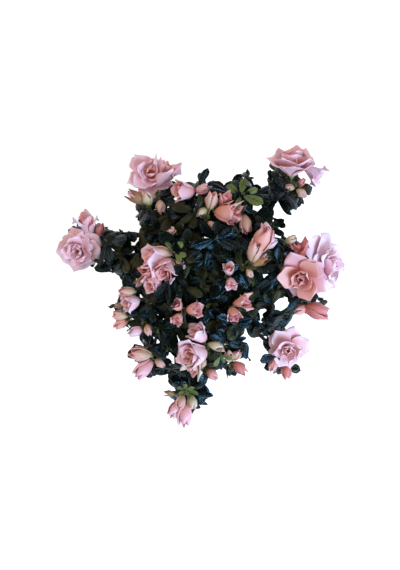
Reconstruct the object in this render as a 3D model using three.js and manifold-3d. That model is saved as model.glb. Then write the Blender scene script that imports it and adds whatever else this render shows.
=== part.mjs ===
// A florist's azalea in a plain glazed pot: one short trunk, forking boughs, and masses of whorled
// leaves with half-open and open double flowers at their tips.
// Millimetres, +Z up. The origin is the middle of the pot's flat underside. A bearing is counted in
// degrees from +X towards +Y, and a reach is a distance from the pot's axis, both seen from above.

import * as THREE from "three";
import { mergeVertices } from "three/addons/utils/BufferGeometryUtils.js";
import Module from "manifold-3d";

const wasm = await Module();
wasm.setup();

// ---------------------------------------------------------------- driving dimensions

const CLEARANCE = 0.3; // between any two solids that meet
const SHORTEST_EDGE = 0.02; // shorter ones are closed up where pieces are fused

const POT = { height: 108, rimRadius: 62, footRadius: 45, wall: 4.5, floor: 6, sides: 28 };
const BAND = { height: 17, step: 2.6, draft: 0.8, edge: 2.2 }; // the pot's thicker rim
const SOIL = { top: 97, edgeDrop: 4, edgeWidth: 12 };

const TRUNK = { forkHeight: 143, leanBearing: 70, lean: 4, footRadius: 8, tipRadius: 6 };
const FLARE = { swell: 0.65, fade: 7, ridges: 5, ridgeDepth: 0.3 }; // of the trunk's foot
const MAIN_BOUGH = { footRadius: 3.6, tipRadius: 2.3 };
const SIDE_BOUGH = { footRadius: 2.7, tipRadius: 2.0 };
const TWIG = { footRadius: 1.7, tipRadius: 1.2 };
const BOUGH_BEND = { share: 0.62, rise: 0.36 }; // of the way out to its heart, and of the way up

// The crown is a low dome: its shoots' tips stand at crownHeight(reach), and nothing is below its floor.
const CROWN = { top: 296, fall: 62, fallReach: 150, reach: 180, floor: 122 };
const HEART_DEPTH = 46; // from the dome down to the heart of a mass, where its twigs part
const STEM_LENGTH = 17; // from a bough's tip to the heart of its mass

const KNOB = { radius: 2.6, half: 1.6 }; // the swollen bud that a ring of leaves or petals grows from
const LEAVES_PER_WHORL = 6;
const PETALS = 5;
const LEAF = { length: 30, width: 14, droop: 3.5, outline: [[0.62, 1], [1, 0], [0.62, -1]] };
const PETAL = { length: 27, width: 18.5, droop: 2, outline: [[0.6, 1], [1, 0.55], [1, -0.55], [0.6, -1]] };
const HALF_OPEN = [[0, 0], [6.8, 11], [5.4, 19], [0, 16]]; // radius and height of a bud that opens
const FLOWER = { neck: 5, cup: [[6, 9], [9, 17]], heart: 11 }; // heights, and [radius, height] of its cup

const SMALLER = [1, 0.75, 0.5]; // the sizes tried for a leaf
const TIP_SPACING = 14; // of the golden-angle spiral that spreads shoots over the dome
const TIP_DEPTH = { least: 3, more: 15 }; // how far they stand below it
const SKIRT = { shoots: 3, length: 38, arc: 240, leastFall: 10, moreFall: 55 }; // shoots under the dome
const TRUSS_DEPTH = 14; // from the dome down to the knob of a truss
const SHOOT_SPACING = 18; // between a leafy shoot and a truss
const TIP_INSET = 5; // from a leafy shoot's tip to the side of its mass's space
const GOLDEN_ANGLE = 137.508;

// Leaves lean away from their shoot's axis by these degrees, and stray from even turns by a share.
const LEAFY_WHORL = { leastLean: 56, mostLean: 84, stray: 0.16 };
const TRUSS_WHORL = { leastLean: 78, mostLean: 100, stray: 0.16 };
const PETAL_RING = { leastLean: 62, mostLean: 76, stray: 0.06 };

// A twig forks off at one of these shares of an older twig, rises by leastRise where it can, and runs
// straight along its shoot's axis for the last share of its length.
const FORK = { shares: [0.55, 0.8], leastRise: 14, straight: 0.45 };

// Each mass of foliage: the bearing and reach of its heart, the radius of its space about that, and
// the limb that its bough forks from, with how far along.
const MASSES = [
  { name: "centre", bearing: 12, reach: 37, spread: 66, from: "trunk", at: 0.97 },
  { name: "north_west", bearing: 119, reach: 131, spread: 52, from: "trunk", at: 0.95 },
  { name: "north_east", bearing: 54, reach: 142, spread: 58, from: "trunk", at: 0.62 },
  { name: "east", bearing: 3, reach: 112, spread: 58, from: "trunk", at: 0.9 },
  { name: "south_east", bearing: 316, reach: 106, spread: 52, from: "trunk", at: 0.66 },
  { name: "south_west", bearing: 226, reach: 98, spread: 48, from: "trunk", at: 0.86 },
  { name: "west", bearing: 161, reach: 138, spread: 52, from: "trunk", at: 0.58 },
  { name: "north", bearing: 90, reach: 86, spread: 60, from: "north_east", at: 0.35 },
  { name: "south", bearing: 256, reach: 124, spread: 50, from: "south_west", at: 0.36 },
  { name: "south_inner", bearing: 287, reach: 80, spread: 56, from: "south_east", at: 0.3 },
  { name: "centre_south", bearing: 241, reach: 50, spread: 56, from: "south_west", at: 0.2 },
  { name: "west_inner", bearing: 156, reach: 61, spread: 66, from: "west", at: 0.3 },
  { name: "west_south_west", bearing: 195, reach: 90, spread: 46, from: "west", at: 0.2 },
];

// Each truss of blossom: the bearing and reach of the knob it grows from, and its blossoms as
// [kind, lean, towards]: the lean in degrees from upright and the bearing that it leans to.
const TRUSSES = [
  { bearing: 116, reach: 148, blossoms: [["open", 20, 180], ["half", 65, 8]] },
  { bearing: 100, reach: 112, blossoms: [["half", 15, 60]] },
  { bearing: 81, reach: 99, blossoms: [["half", 30, 146], ["half", 35, 50]] },
  { bearing: 66, reach: 94, blossoms: [["half", 45, 280]] },
  { bearing: 124, reach: 73, blossoms: [["half", 35, 220]] },
  { bearing: 162, reach: 156, blossoms: [["open", 20, 200]] },
  { bearing: 154, reach: 151, blossoms: [["half", 30, 115]] },
  { bearing: 158, reach: 60, blossoms: [["half", 25, 140], ["half", 30, 300]] },
  { bearing: 172, reach: 69, blossoms: [["half", 35, 100], ["half", 15, 285]] },
  { bearing: 189, reach: 93, blossoms: [["half", 30, 135], ["half", 30, 255]] },
  { bearing: 233, reach: 116, blossoms: [["half", 45, 135], ["half", 55, 230]] },
  { bearing: 227, reach: 42, blossoms: [["half", 30, 145], ["half", 40, 230], ["half", 40, 15]] },
  { bearing: 254, reach: 75, blossoms: [["half", 35, 80], ["half", 25, 250]] },
  { bearing: 256, reach: 136, blossoms: [["half", 55, 215], ["half", 65, 268], ["half", 50, 310]] },
  { bearing: 19, reach: 24, blossoms: [["half", 30, 95], ["half", 30, 275]] },
  { bearing: 325, reach: 45, blossoms: [["half", 25, 80], ["half", 12, 260]] },
  { bearing: 37, reach: 78, blossoms: [["half", 20, 200]] },
  { bearing: 55, reach: 168, blossoms: [["open", 68, 52]] },
  { bearing: 6, reach: 114, blossoms: [["open", 15, 270]] },
  { bearing: 10, reach: 136, blossoms: [["open", 50, 30]] },
  { bearing: 22, reach: 114, blossoms: [["half", 25, 70]] },
  { bearing: 347, reach: 127, blossoms: [["half", 50, 350]] },
  { bearing: 323, reach: 115, blossoms: [["open", 15, 270]] },
  { bearing: 310, reach: 129, blossoms: [["half", 35, 215], ["half", 40, 310]] },
  { bearing: 287, reach: 96, blossoms: [["half", 25, 200], ["half", 35, 310]] },
];

// ---------------------------------------------------------------- helpers

const rad = THREE.MathUtils.degToRad;

// A repeatable stream of numbers from 0 to 1, the same for the same seed.
function stream(seed) {
  let state = seed >>> 0;
  return () => {
    state = (Math.imul(state, 1664525) + 1013904223) >>> 0;
    return state / 4294967296;
  };
}

function polar(bearing, reach, height) {
  return new THREE.Vector3(reach * Math.cos(rad(bearing)), reach * Math.sin(rad(bearing)), height);
}

function crownHeight(reach) {
  return CROWN.top - CROWN.fall * (reach / CROWN.fallReach) ** 2;
}

function planReach(point) {
  return Math.hypot(point.x, point.y);
}

// A closed three.js geometry as a solid that can be joined and cut.
function solid(geometry) {
  const bare = new THREE.BufferGeometry().setAttribute("position", geometry.getAttribute("position"));
  if (geometry.index) bare.setIndex(geometry.index);
  const merged = mergeVertices(bare, 1e-4);
  return new wasm.Manifold(
    new wasm.Mesh({
      numProp: 3,
      vertProperties: merged.attributes.position.array,
      triVerts: new Uint32Array(merged.index.array),
    }),
  );
}

// The solid's vertices and triangles back as a three.js geometry.
function geometryOf(shape) {
  const mesh = shape.getMesh();
  const geometry = new THREE.BufferGeometry();
  geometry.setAttribute("position", new THREE.BufferAttribute(mesh.vertProperties, 3));
  geometry.setIndex(new THREE.BufferAttribute(mesh.triVerts, 1));
  return geometry;
}

// The largest body of a shape: without its loose scraps, and with any sealed hollow filled.
function largestBody(shape) {
  return shape.decompose().reduce((best, body) => (body.volume() > best.volume() ? body : best));
}

// A unit vector across `along`, level where it can be.
function across(along) {
  const side = new THREE.Vector3(0, 0, 1).cross(along);
  return side.lengthSq() < 1e-6 ? side.set(1, 0, 0) : side.normalize();
}

// The direction that leans from `axis` by `lean`, turned about it by `turn` from `side`, in radians.
function leaning(axis, side, lean, turn) {
  return axis
    .clone()
    .multiplyScalar(Math.cos(lean))
    .addScaledVector(side, Math.sin(lean) * Math.cos(turn))
    .addScaledVector(axis.clone().cross(side), Math.sin(lean) * Math.sin(turn));
}

// A closed surface through rings of points, each joined to the next. Rings run anticlockwise about the
// way from the first to the last, they may differ in number, and the end ones are single points.
function loftGeometry(rings) {
  const faces = [];
  let first = 0;
  for (let r = 0; r + 1 < rings.length; r++) {
    const low = rings[r].length;
    const high = rings[r + 1].length;
    const lowSteps = low === 1 ? 0 : low;
    const highSteps = high === 1 ? 0 : high;
    for (let i = 0, j = 0; i < lowSteps || j < highSteps; ) {
      const here = first + (i % low);
      const above = first + low + (j % high);
      if (j === highSteps || (i < lowSteps && (i + 0.5) / low < (j + 0.5) / high)) {
        i++;
        faces.push(here, first + (i % low), above);
      } else {
        j++;
        faces.push(here, first + low + (j % high), above);
      }
    }
    first += low;
  }
  return new THREE.BufferGeometry().setFromPoints(rings.flat()).setIndex(faces);
}

// A unit vector square to the plane that a curve bends in.
function sideOf({ v0, v1, v2 }) {
  const side = v1.clone().sub(v0).cross(v2.clone().sub(v0));
  return side.lengthSq() < 1e-3 ? across(v2.clone().sub(v0).normalize()) : side.normalize();
}

// The points of a ring round a curve. radiusAt gives the radius from the share of the curve's length
// and the angle round it.
function ringAt(curve, share, radiusAt, sides, start = 0) {
  return Array.from({ length: sides }, (_, i) => {
    const angle = start + (i * 2 * Math.PI) / sides;
    const outward = leaning(curve.getTangent(share), sideOf(curve), Math.PI / 2, angle);
    return curve.getPoint(share).addScaledVector(outward, radiusAt(share, angle));
  });
}

// A round tube bent along a plane curve, with flat ends. `grow` makes it fatter and longer all round.
function limbGeometry(curve, radiusAt, sides, steps, grow = 0) {
  const rings = Array.from({ length: steps + 1 }, (_, i) => {
    const share = i / steps;
    const beyond = curve.getTangent(share).multiplyScalar(i === 0 ? -grow : i === steps ? grow : 0);
    const ring = ringAt(curve, share, (...place) => radiusAt(...place) + grow, sides);
    return [...ring, curve.getPoint(share)].map((point) => point.add(beyond));
  });
  const ends = [rings[0], rings[steps]].map((ring) => [ring[sides]]);
  return loftGeometry([ends[0], ...rings.map((ring) => ring.slice(0, sides)), ends[1]]);
}

const taper = ({ footRadius, tipRadius }) => (share) => footRadius + (tipRadius - footRadius) * share;

// ---------------------------------------------------------------- pot and soil

function potOutside(height) {
  return POT.footRadius + ((POT.rimRadius - BAND.step - POT.footRadius) * height) / POT.height;
}

function potInside(height) {
  return potOutside(height) - POT.wall;
}

// A profile of [radius, height] pairs spun about the pot's axis.
function latheUp(profile) {
  const points = profile.map(([radius, height]) => new THREE.Vector2(radius, height));
  return new THREE.LatheGeometry(points, POT.sides).rotateX(Math.PI / 2);
}

function potGeometry() {
  const band = POT.height - BAND.height;
  return latheUp([
    [0, 0],
    [POT.footRadius, 0],
    [potOutside(band - BAND.edge), band - BAND.edge],
    [POT.rimRadius - BAND.draft, band],
    [POT.rimRadius, POT.height - BAND.edge],
    [POT.rimRadius - BAND.edge, POT.height],
    [potInside(POT.height), POT.height],
    [potInside(POT.floor), POT.floor],
    [0, POT.floor],
  ]);
}

// The soil fills the pot, and its top rounds down to the wall.
function soilGeometry() {
  const floor = POT.floor + CLEARANCE;
  const edge = SOIL.top - SOIL.edgeDrop;
  const gap = 2 * CLEARANCE;
  return latheUp([
    [0, floor],
    [potInside(floor) - gap, floor],
    [potInside(edge) - gap, edge],
    [potInside(SOIL.top) - SOIL.edgeWidth, SOIL.top],
    [0, SOIL.top],
  ]);
}

// ---------------------------------------------------------------- trunk and boughs

const trunkFoot = new THREE.Vector3(0, 0, SOIL.top + CLEARANCE);
const trunkFork = polar(TRUNK.leanBearing, TRUNK.lean, TRUNK.forkHeight);
const trunkBend = trunkFoot.clone().setZ((trunkFoot.z + trunkFork.z) / 2);

// The flare at the foot falls away quickly, and the roots' ridges stand in it.
function trunkRadius(share, angle) {
  const ridge = 1 + FLARE.ridgeDepth * Math.cos(FLARE.ridges * angle);
  return taper(TRUNK)(share) * (1 + FLARE.swell * Math.exp(-FLARE.fade * share) * ridge);
}

for (const mass of MASSES) {
  mass.heart = polar(mass.bearing, mass.reach, crownHeight(mass.reach) - HEART_DEPTH);
}

// Every limb's curve and radii, the trunk first. A bough leaves its parent's middle line low and
// outwards, and turns up towards its mass.
const trunkCurve = new THREE.QuadraticBezierCurve3(trunkFoot, trunkBend, trunkFork);
const LIMBS = new Map([["trunk", { curve: trunkCurve, radiusAt: trunkRadius, sides: 10, steps: 6 }]]);
for (const mass of MASSES) {
  const start = LIMBS.get(mass.from).curve.getPoint(mass.at);
  const bend = start.clone().lerp(mass.heart, BOUGH_BEND.share);
  bend.z = start.z + (mass.heart.z - start.z) * BOUGH_BEND.rise;
  mass.arrival = mass.heart.clone().sub(bend).normalize();
  const tip = mass.heart.clone().addScaledVector(mass.arrival, -STEM_LENGTH);
  const curve = new THREE.QuadraticBezierCurve3(start, bend, tip);
  mass.bough = mass.from === "trunk" ? MAIN_BOUGH : SIDE_BOUGH;
  LIMBS.set(mass.name, { curve, radiusAt: taper(mass.bough), sides: 6, steps: 4, from: mass.from });
}

function limbSolid({ curve, radiusAt, sides, steps }, grow = 0) {
  return solid(limbGeometry(curve, radiusAt, sides, steps, grow));
}

// A bough's foot is cut clear of the limbs before it.
let before = wasm.Manifold.union([]);
for (const limb of LIMBS.values()) {
  limb.solid = largestBody(limbSolid(limb).subtract(before));
  before = before.add(limbSolid(limb, CLEARANCE));
}
const ALL_LIMBS = wasm.Manifold.union([...LIMBS.values()].map((limb) => limbSolid(limb, 2 * CLEARANCE)));

// ---------------------------------------------------------------- leaves and blossoms

// The rim of a ring of leaves or petals about the origin: it runs out and back along the outline of each
// blade in turn. A blade is { turn, lean, size }, and one of size 0 is left out.
function rimOf(axis, side, blades, { length, width, droop, outline }) {
  return blades.flatMap(({ turn, lean, size }) => {
    const along = leaning(axis, side, lean, turn);
    const edgeways = along.clone().cross(axis).normalize();
    const up = edgeways.clone().cross(along);
    const notch = leaning(axis, side, Math.PI / 2, turn - Math.PI / blades.length);
    const corners = outline.map(([share, wide]) =>
      along
        .clone()
        .multiplyScalar(share * length * size)
        .addScaledVector(edgeways, (wide * width * size) / 2)
        .addScaledVector(up, -droop * size * share ** 2),
    );
    return [notch.multiplyScalar(KNOB.radius), ...(size > 0 ? corners : [])];
  });
}

// A ring of leaves as a closed star that is thickest in its middle.
function starGeometry(centre, axis, side, blades) {
  const rim = rimOf(axis, side, blades, LEAF).map((point) => point.add(centre));
  const pole = (height) => [centre.clone().addScaledVector(axis, height)];
  return loftGeometry([pole(-KNOB.half), rim, pole(KNOB.half)]);
}

// A leafy shoot as one closed surface: a three-sided twig, which opens at its tip into the outlines of
// its whorl of leaves and closes over them in a low knob.
function shootGeometry(twig, blades) {
  const axis = twig.getTangent(1);
  const rim = rimOf(axis, sideOf(twig), blades, LEAF).map((point) => point.add(twig.v2));
  const start = blades[0].turn - Math.PI / blades.length;
  const underKnob = 1 - KNOB.half / twig.getLength();
  const rings = [0, 0.5, underKnob].map((share) => ringAt(twig, share, taper(TWIG), 3, start));
  const peak = twig.v2.clone().addScaledVector(axis, KNOB.half);
  return loftGeometry([[twig.v0], ...rings, rim, [peak]]);
}

// Blades round a ring, each with its own small turn, lean and size. The turns stay near enough to even
// that no blade meets the next.
function scattered(count, random, { leastLean, mostLean, stray }) {
  const first = random() * 2 * Math.PI;
  return Array.from({ length: count }, (_, i) => ({
    turn: first + ((i + stray * (random() - 0.5)) * 2 * Math.PI) / count,
    lean: rad(leastLean + (mostLean - leastLean) * random()),
    size: 0.82 + 0.3 * random(),
  }));
}

// A pointed bud spun about its axis from [radius, height] pairs, with `root` at height 0.
function spindle(profile, sides, root, axis) {
  const points = profile.map(([radius, height]) => new THREE.Vector2(radius, height));
  const turn = new THREE.Quaternion().setFromUnitVectors(new THREE.Vector3(0, 1, 0), axis);
  const geometry = new THREE.LatheGeometry(points, sides).applyQuaternion(turn);
  return geometry.translate(root.x, root.y, root.z);
}

// A blossom on `root` that faces along `axis`. A half-open bud is one furled body. A double flower has
// a spread ring of petals on a short neck, and a cup of smaller ones round its heart.
function blossomGeometry(kind, root, axis, random) {
  if (kind === "half") return spindle(HALF_OPEN, 5, root, axis);
  const side = across(axis);
  const at = (height) => root.clone().addScaledVector(axis, height);
  const petals = scattered(PETALS, random, PETAL_RING);
  const rim = rimOf(axis, side, petals, PETAL).map((point) => point.add(at(FLOWER.neck)));
  const cup = FLOWER.cup.map(([radius, height]) =>
    petals.map(({ turn }) =>
      at(height).addScaledVector(leaning(axis, side, Math.PI / 2, turn - Math.PI / PETALS), radius),
    ),
  );
  return loftGeometry([[root], rim, ...cup, [at(FLOWER.heart)]]);
}

// ---------------------------------------------------------------- masses of foliage

// Whether a point is in a mass's own space: an upright column about its heart, less all that is nearer
// to another heart.
function inSpace(mass, point, inset) {
  const off = point.clone().sub(mass.heart).setZ(0);
  if (point.z < CROWN.floor || off.length() > mass.spread - inset) return false;
  return MASSES.every((other) => {
    const between = other.heart.clone().sub(mass.heart).setZ(0);
    return other === mass || off.dot(between) / between.length() < between.length() / 2 - inset;
  });
}

function spaceHolds(mass, geometry) {
  const place = geometry.attributes.position;
  const corner = new THREE.Vector3();
  return Array.from({ length: place.count }).every((_, i) => {
    corner.fromBufferAttribute(place, i);
    return inSpace(mass, corner, CLEARANCE / 2 + 0.05);
  });
}

function boxesMeet(one, other) {
  return [0, 1, 2].every((axis) => one.min[axis] < other.max[axis] && other.min[axis] < one.max[axis]);
}

// Whether a piece stays in its mass's space, clear of every limb and of the pieces in `taken`.
function fits(mass, geometry, taken = []) {
  if (!spaceHolds(mass, geometry)) return false;
  const piece = solid(geometry);
  const box = piece.boundingBox();
  return [ALL_LIMBS, ...taken].every(
    (other) => !boxesMeet(box, other.boundingBox()) || piece.intersect(other).isEmpty(),
  );
}

// A shoot whose leaves each fit clear of the pieces in `taken`: one that doesn't is tried smaller, then
// left out. It is null where the twig itself would leave the space or touch a limb.
function fittingShoot(mass, twig, blades, taken) {
  const none = blades.map((blade) => ({ ...blade, size: 0 }));
  if (!fits(mass, shootGeometry(twig, none))) return null;
  const alone = (blade, i) => starGeometry(twig.v2, twig.getTangent(1), sideOf(twig), none.with(i, blade));
  const fitted = blades.map((blade, i) => {
    const sizes = SMALLER.map((share) => ({ ...blade, size: blade.size * share }));
    return sizes.find((smaller) => fits(mass, alone(smaller, i), taken)) ?? none[i];
  });
  return shootGeometry(twig, fitted);
}

// The direction in which the crown's surface faces at a point.
function outwards(point) {
  const slope = (2 * CROWN.fall * planReach(point)) / CROWN.fallReach ** 2;
  return new THREE.Vector3(point.x, point.y, 0).setLength(slope).setZ(1).normalize();
}

// The tips of leafy shoots, spread evenly over the whole dome by the golden angle.
const domeRandom = stream(0);
const DOME_TIPS = Array.from({ length: (CROWN.reach / TIP_SPACING) ** 2 }, (_, i) => {
  const reach = TIP_SPACING * Math.sqrt(i + 0.5);
  return polar(i * GOLDEN_ANGLE, reach, crownHeight(reach) - TIP_DEPTH.least - TIP_DEPTH.more * domeRandom());
});

// The tips of a mass's leafy shoots: its own part of the dome, and some that hang out under it.
function leafyTips(mass, trussTips, random) {
  const skirt = Array.from({ length: SKIRT.shoots }, (_, i) => {
    const share = (i + 0.3 + 0.4 * random()) / SKIRT.shoots;
    const fall = rad(SKIRT.leastFall + SKIRT.moreFall * random());
    const off = polar(mass.bearing + (share - 0.5) * SKIRT.arc, Math.cos(fall), -Math.sin(fall));
    return mass.heart.clone().addScaledVector(off, SKIRT.length);
  });
  const apart = (tip) => trussTips.every((other) => other.distanceTo(tip) > SHOOT_SPACING);
  return [...DOME_TIPS, ...skirt].filter((tip) => inSpace(mass, tip, TIP_INSET) && apart(tip));
}

// A mass grows from a stem that stands on its bough's tip. Each new shoot forks from the nearest of the
// stem and the twigs before it, and arrives at its tip along the crown's outward direction.
function massSolid(mass, seed) {
  const random = stream(seed);
  const stemFoot = mass.heart.clone().addScaledVector(mass.arrival, CLEARANCE - STEM_LENGTH);
  const stem = new THREE.QuadraticBezierCurve3(
    stemFoot,
    stemFoot.clone().lerp(mass.heart, 0.5),
    mass.heart.clone().addScaledVector(mass.arrival, 1),
  );
  const stemTaper = taper({ footRadius: mass.bough.tipRadius, tipRadius: TWIG.footRadius });
  const pieces = [solid(limbGeometry(stem, stemTaper, 6, 1))];
  const twigs = [stem];

  const growShoot = (tip, axis, blades, blossoms) => {
    const forks = twigs.flatMap((twig) => FORK.shares.map((share) => twig.getPoint(share)));
    const strain = (fork) => fork.distanceTo(tip) + 2 * Math.max(0, FORK.leastRise - (tip.z - fork.z));
    const start = forks.reduce((best, fork) => (strain(fork) < strain(best) ? fork : best));
    const bend = tip.clone().addScaledVector(axis, -FORK.straight * start.distanceTo(tip));
    const twig = new THREE.QuadraticBezierCurve3(start, bend, tip);
    const shoot = fittingShoot(mass, twig, blades, pieces);
    if (!shoot) return;
    pieces.push(solid(shoot), ...blossoms.filter((piece) => fits(mass, piece)).map(solid));
    twigs.push(twig);
  };

  const own = TRUSSES.filter(({ bearing, reach }) => inSpace(mass, polar(bearing, reach, CROWN.top), 0));
  const trussTips = own.map(({ bearing, reach }) => polar(bearing, reach, crownHeight(reach) - TRUSS_DEPTH));
  own.forEach(({ blossoms }, i) => {
    const tip = trussTips[i];
    const leaves = scattered(LEAVES_PER_WHORL, random, TRUSS_WHORL);
    const flowers = blossoms.map(([kind, lean, towards]) => {
      const facing = polar(towards, Math.sin(rad(lean)), Math.cos(rad(lean)));
      return blossomGeometry(kind, tip, facing, random);
    });
    growShoot(tip, outwards(tip), leaves, flowers);
  });
  for (const tip of leafyTips(mass, trussTips, random)) {
    growShoot(tip, outwards(tip), scattered(LEAVES_PER_WHORL, random, LEAFY_WHORL), []);
  }
  return largestBody(wasm.Manifold.union(pieces).simplify(SHORTEST_EDGE));
}

// ---------------------------------------------------------------- the plant

const FINISH = {
  pot: { color: 0xe4e0d8, roughness: 0.35 },
  soil: { color: 0x2e2219, roughness: 0.95 },
  bark: { color: 0x5b4534, roughness: 0.85 },
  foliage: { color: 0x232c1c, roughness: 0.45 },
};

const plant = new THREE.Group();

function addNode(name, geometry, finish) {
  const mesh = new THREE.Mesh(geometry, new THREE.MeshStandardMaterial({ metalness: 0, ...finish }));
  mesh.name = name;
  plant.add(mesh);
}

addNode("pot", potGeometry(), FINISH.pot);
addNode("soil", soilGeometry(), FINISH.soil);
for (const [name, limb] of LIMBS) {
  addNode(name === "trunk" ? name : "bough_" + name, geometryOf(limb.solid), FINISH.bark);
}
MASSES.forEach((mass, i) => addNode("mass_" + mass.name, geometryOf(massSolid(mass, i + 1)), FINISH.foliage));

export default plant;
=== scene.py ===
import math

import bpy
import numpy as np
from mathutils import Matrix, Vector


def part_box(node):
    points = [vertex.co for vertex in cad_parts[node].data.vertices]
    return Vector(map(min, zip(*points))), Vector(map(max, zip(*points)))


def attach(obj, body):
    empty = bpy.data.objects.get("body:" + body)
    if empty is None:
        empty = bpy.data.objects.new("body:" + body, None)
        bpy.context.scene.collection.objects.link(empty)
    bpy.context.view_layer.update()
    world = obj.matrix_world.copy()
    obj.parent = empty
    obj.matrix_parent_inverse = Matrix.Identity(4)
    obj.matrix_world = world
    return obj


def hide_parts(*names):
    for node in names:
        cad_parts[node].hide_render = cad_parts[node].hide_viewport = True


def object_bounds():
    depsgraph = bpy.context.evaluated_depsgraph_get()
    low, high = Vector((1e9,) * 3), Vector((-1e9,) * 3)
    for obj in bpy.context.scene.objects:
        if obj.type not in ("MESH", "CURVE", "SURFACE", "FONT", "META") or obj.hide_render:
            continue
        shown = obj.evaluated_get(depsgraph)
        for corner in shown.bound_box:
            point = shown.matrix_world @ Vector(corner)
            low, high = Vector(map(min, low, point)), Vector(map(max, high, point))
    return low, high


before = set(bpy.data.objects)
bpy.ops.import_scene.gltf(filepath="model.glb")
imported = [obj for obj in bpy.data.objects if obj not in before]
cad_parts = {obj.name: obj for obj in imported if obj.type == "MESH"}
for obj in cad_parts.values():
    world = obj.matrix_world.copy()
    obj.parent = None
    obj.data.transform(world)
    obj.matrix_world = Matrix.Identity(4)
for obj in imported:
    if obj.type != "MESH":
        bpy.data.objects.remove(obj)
cad_box = [list(corner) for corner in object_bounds()]

mm = 0.001

# ---------------------------------------------------------------- stand, light and lens
# The pot stands on a plain white table. A wide cool window stands on the right-hand near side, a weaker
# warm wall glows on the far left, and the room's even light fills what is left.
CROWN_LEVEL = 260 * mm  # the height of most of the blossom
LENS_HEIGHT = CROWN_LEVEL + 1.3
LENS_PLACE = (-9.6 * mm, 0.0)
VIEW_LONG_SIDE = 0.684  # how much of the crown's level the picture takes in


def feed(tree, node, values):
    """Sets a node's inputs, each to a constant or to the socket that feeds it."""
    for name, value in values.items():
        if isinstance(value, bpy.types.NodeSocket):
            tree.links.new(value, node.inputs[name])
        else:
            node.inputs[name].default_value = value


def add_node(tree, kind, values=None, **settings):
    node = tree.nodes.new("ShaderNode" + kind)
    for name, value in settings.items():
        setattr(node, name, value)
    feed(tree, node, values or {})
    return node


def new_material(name):
    """A material, with its nodes and its shader."""
    made = bpy.data.materials.new(name)
    made.use_nodes = True
    return made, made.node_tree, made.node_tree.nodes["Principled BSDF"]


def fresh(add, **how):
    """A new object from one of Blender's plain shapes, the only one selected."""
    bpy.ops.object.select_all(action="DESELECT")
    add(**how)
    return bpy.context.object


def disc(name, sides, radius, height):
    """A flat round plate on the pot's axis."""
    shape = {"vertices": sides, "radius": radius, "fill_type": "NGON"}
    plate = fresh(bpy.ops.mesh.primitive_circle_add, location=(0, 0, height), **shape)
    plate.name = name
    return plate


table = disc("table", 64, 6, -0.5 * mm)
white, white_nodes, white_shader = new_material("white_table")
feed(white_nodes, white_shader, {
    "Base Color": (0.88, 0.88, 0.88, 1), "Roughness": 0.9,
    "Emission Color": (1, 1, 1, 1), "Emission Strength": 0.66,
})
table.data.materials.append(white)

world = bpy.data.worlds.new("room")
bpy.context.scene.world = world
world.use_nodes = True
room = world.node_tree
glossy_ray = add_node(room, "LightPath").outputs["Is Glossy Ray"]
dimmed = add_node(room, "MapRange", {"Value": glossy_ray, "To Min": 0.31, "To Max": 0.015})
feed(room, room.nodes["Background"], {
    "Color": (1.0, 0.955, 0.93, 1), "Strength": dimmed.outputs["Result"],
})


def add_window(name, place, side, power, colour):
    data = bpy.data.lights.new(name, "AREA")
    data.size = side
    data.energy = power
    data.color = colour
    lamp = bpy.data.objects.new(name, data)
    lamp.location = place
    away = np.array(place) - [0, 0, CROWN_LEVEL]
    lamp.rotation_euler = (math.acos(away[2] / np.linalg.norm(away)), 0, math.atan2(away[0], -away[1]))
    bpy.context.collection.objects.link(lamp)


add_window("window", (0.95, -0.85, 1.35), 1.0, 39, (0.55, 0.76, 1.0))
add_window("warm_wall", (-1.0, 0.9, 1.5), 1.3, 13, (1.0, 0.82, 0.70))

lens = bpy.data.cameras.new("lens")
lens.lens = lens.sensor_width * (LENS_HEIGHT - CROWN_LEVEL) / VIEW_LONG_SIDE
camera = bpy.data.objects.new("camera", lens)
camera.location = (*LENS_PLACE, LENS_HEIGHT)
bpy.context.collection.objects.link(camera)
bpy.context.scene.camera = camera
bpy.context.scene.view_settings.view_transform = "Standard"


# ---------------------------------------------------------------- pot
# A thrown stoneware pot with a thick rim, dipped in a glossy off-white glaze down to its foot, which
# stays bare. Its wall keeps faint rings from the wheel.
POT_SIDES = 96
POT_WALL = 4.5 * mm
POT_BARE_FOOT = 5 * mm
RING_COUNT = 22
RING_DEPTH = 0.22 * mm
BAND_HEIGHT = 17 * mm
BAND_STEP = 2.6 * mm
SOIL_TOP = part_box("soil")[1].z

pot_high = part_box("pot")[1]
RIM_RADIUS = pot_high.x
FOOT_RADIUS = RIM_RADIUS * 45 / 62
FOOT_ROUND = 0.8 * mm


def noise(tree, place, grain, detail):
    return add_node(tree, "TexNoise", {"Vector": place, "Scale": grain, "Detail": detail}).outputs["Fac"]


def tint_between(tree, share, first, second, start, end):
    """Runs from one colour to another as a share rises from start to end."""
    ramp = add_node(tree, "ValToRGB", {"Fac": share})
    for stop, place, colour in zip(ramp.color_ramp.elements, (start, end), (first, second)):
        stop.position = place
        stop.color = (*colour, 1)
    return ramp.outputs["Color"]


def add_relief(tree, shader, height, strength, depth):
    bump = add_node(tree, "Bump", {"Height": height, "Strength": strength, "Distance": depth})
    feed(tree, shader, {"Normal": bump.outputs["Normal"]})


def speckled(name, light, dark, grain, roughness, bump=0.0, bump_grain=None, coat=0.0):
    """A material of two tints in a fine or coarse grain, with a relief of its own."""
    made, tree, shader = new_material(name)
    place = add_node(tree, "TexCoord").outputs["Object"]
    mottle = noise(tree, place, grain, 5)
    gloss = {"Value": mottle, "To Min": roughness * 0.85, "To Max": roughness * 1.15}
    feed(tree, shader, {
        "Coat Weight": coat,
        "Base Color": tint_between(tree, mottle, dark, light, 0.35, 0.65),
        "Roughness": add_node(tree, "MapRange", gloss).outputs["Result"],
    })
    if bump:
        add_relief(tree, shader, noise(tree, place, bump_grain, 4), 0.6, bump)
    return made


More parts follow.
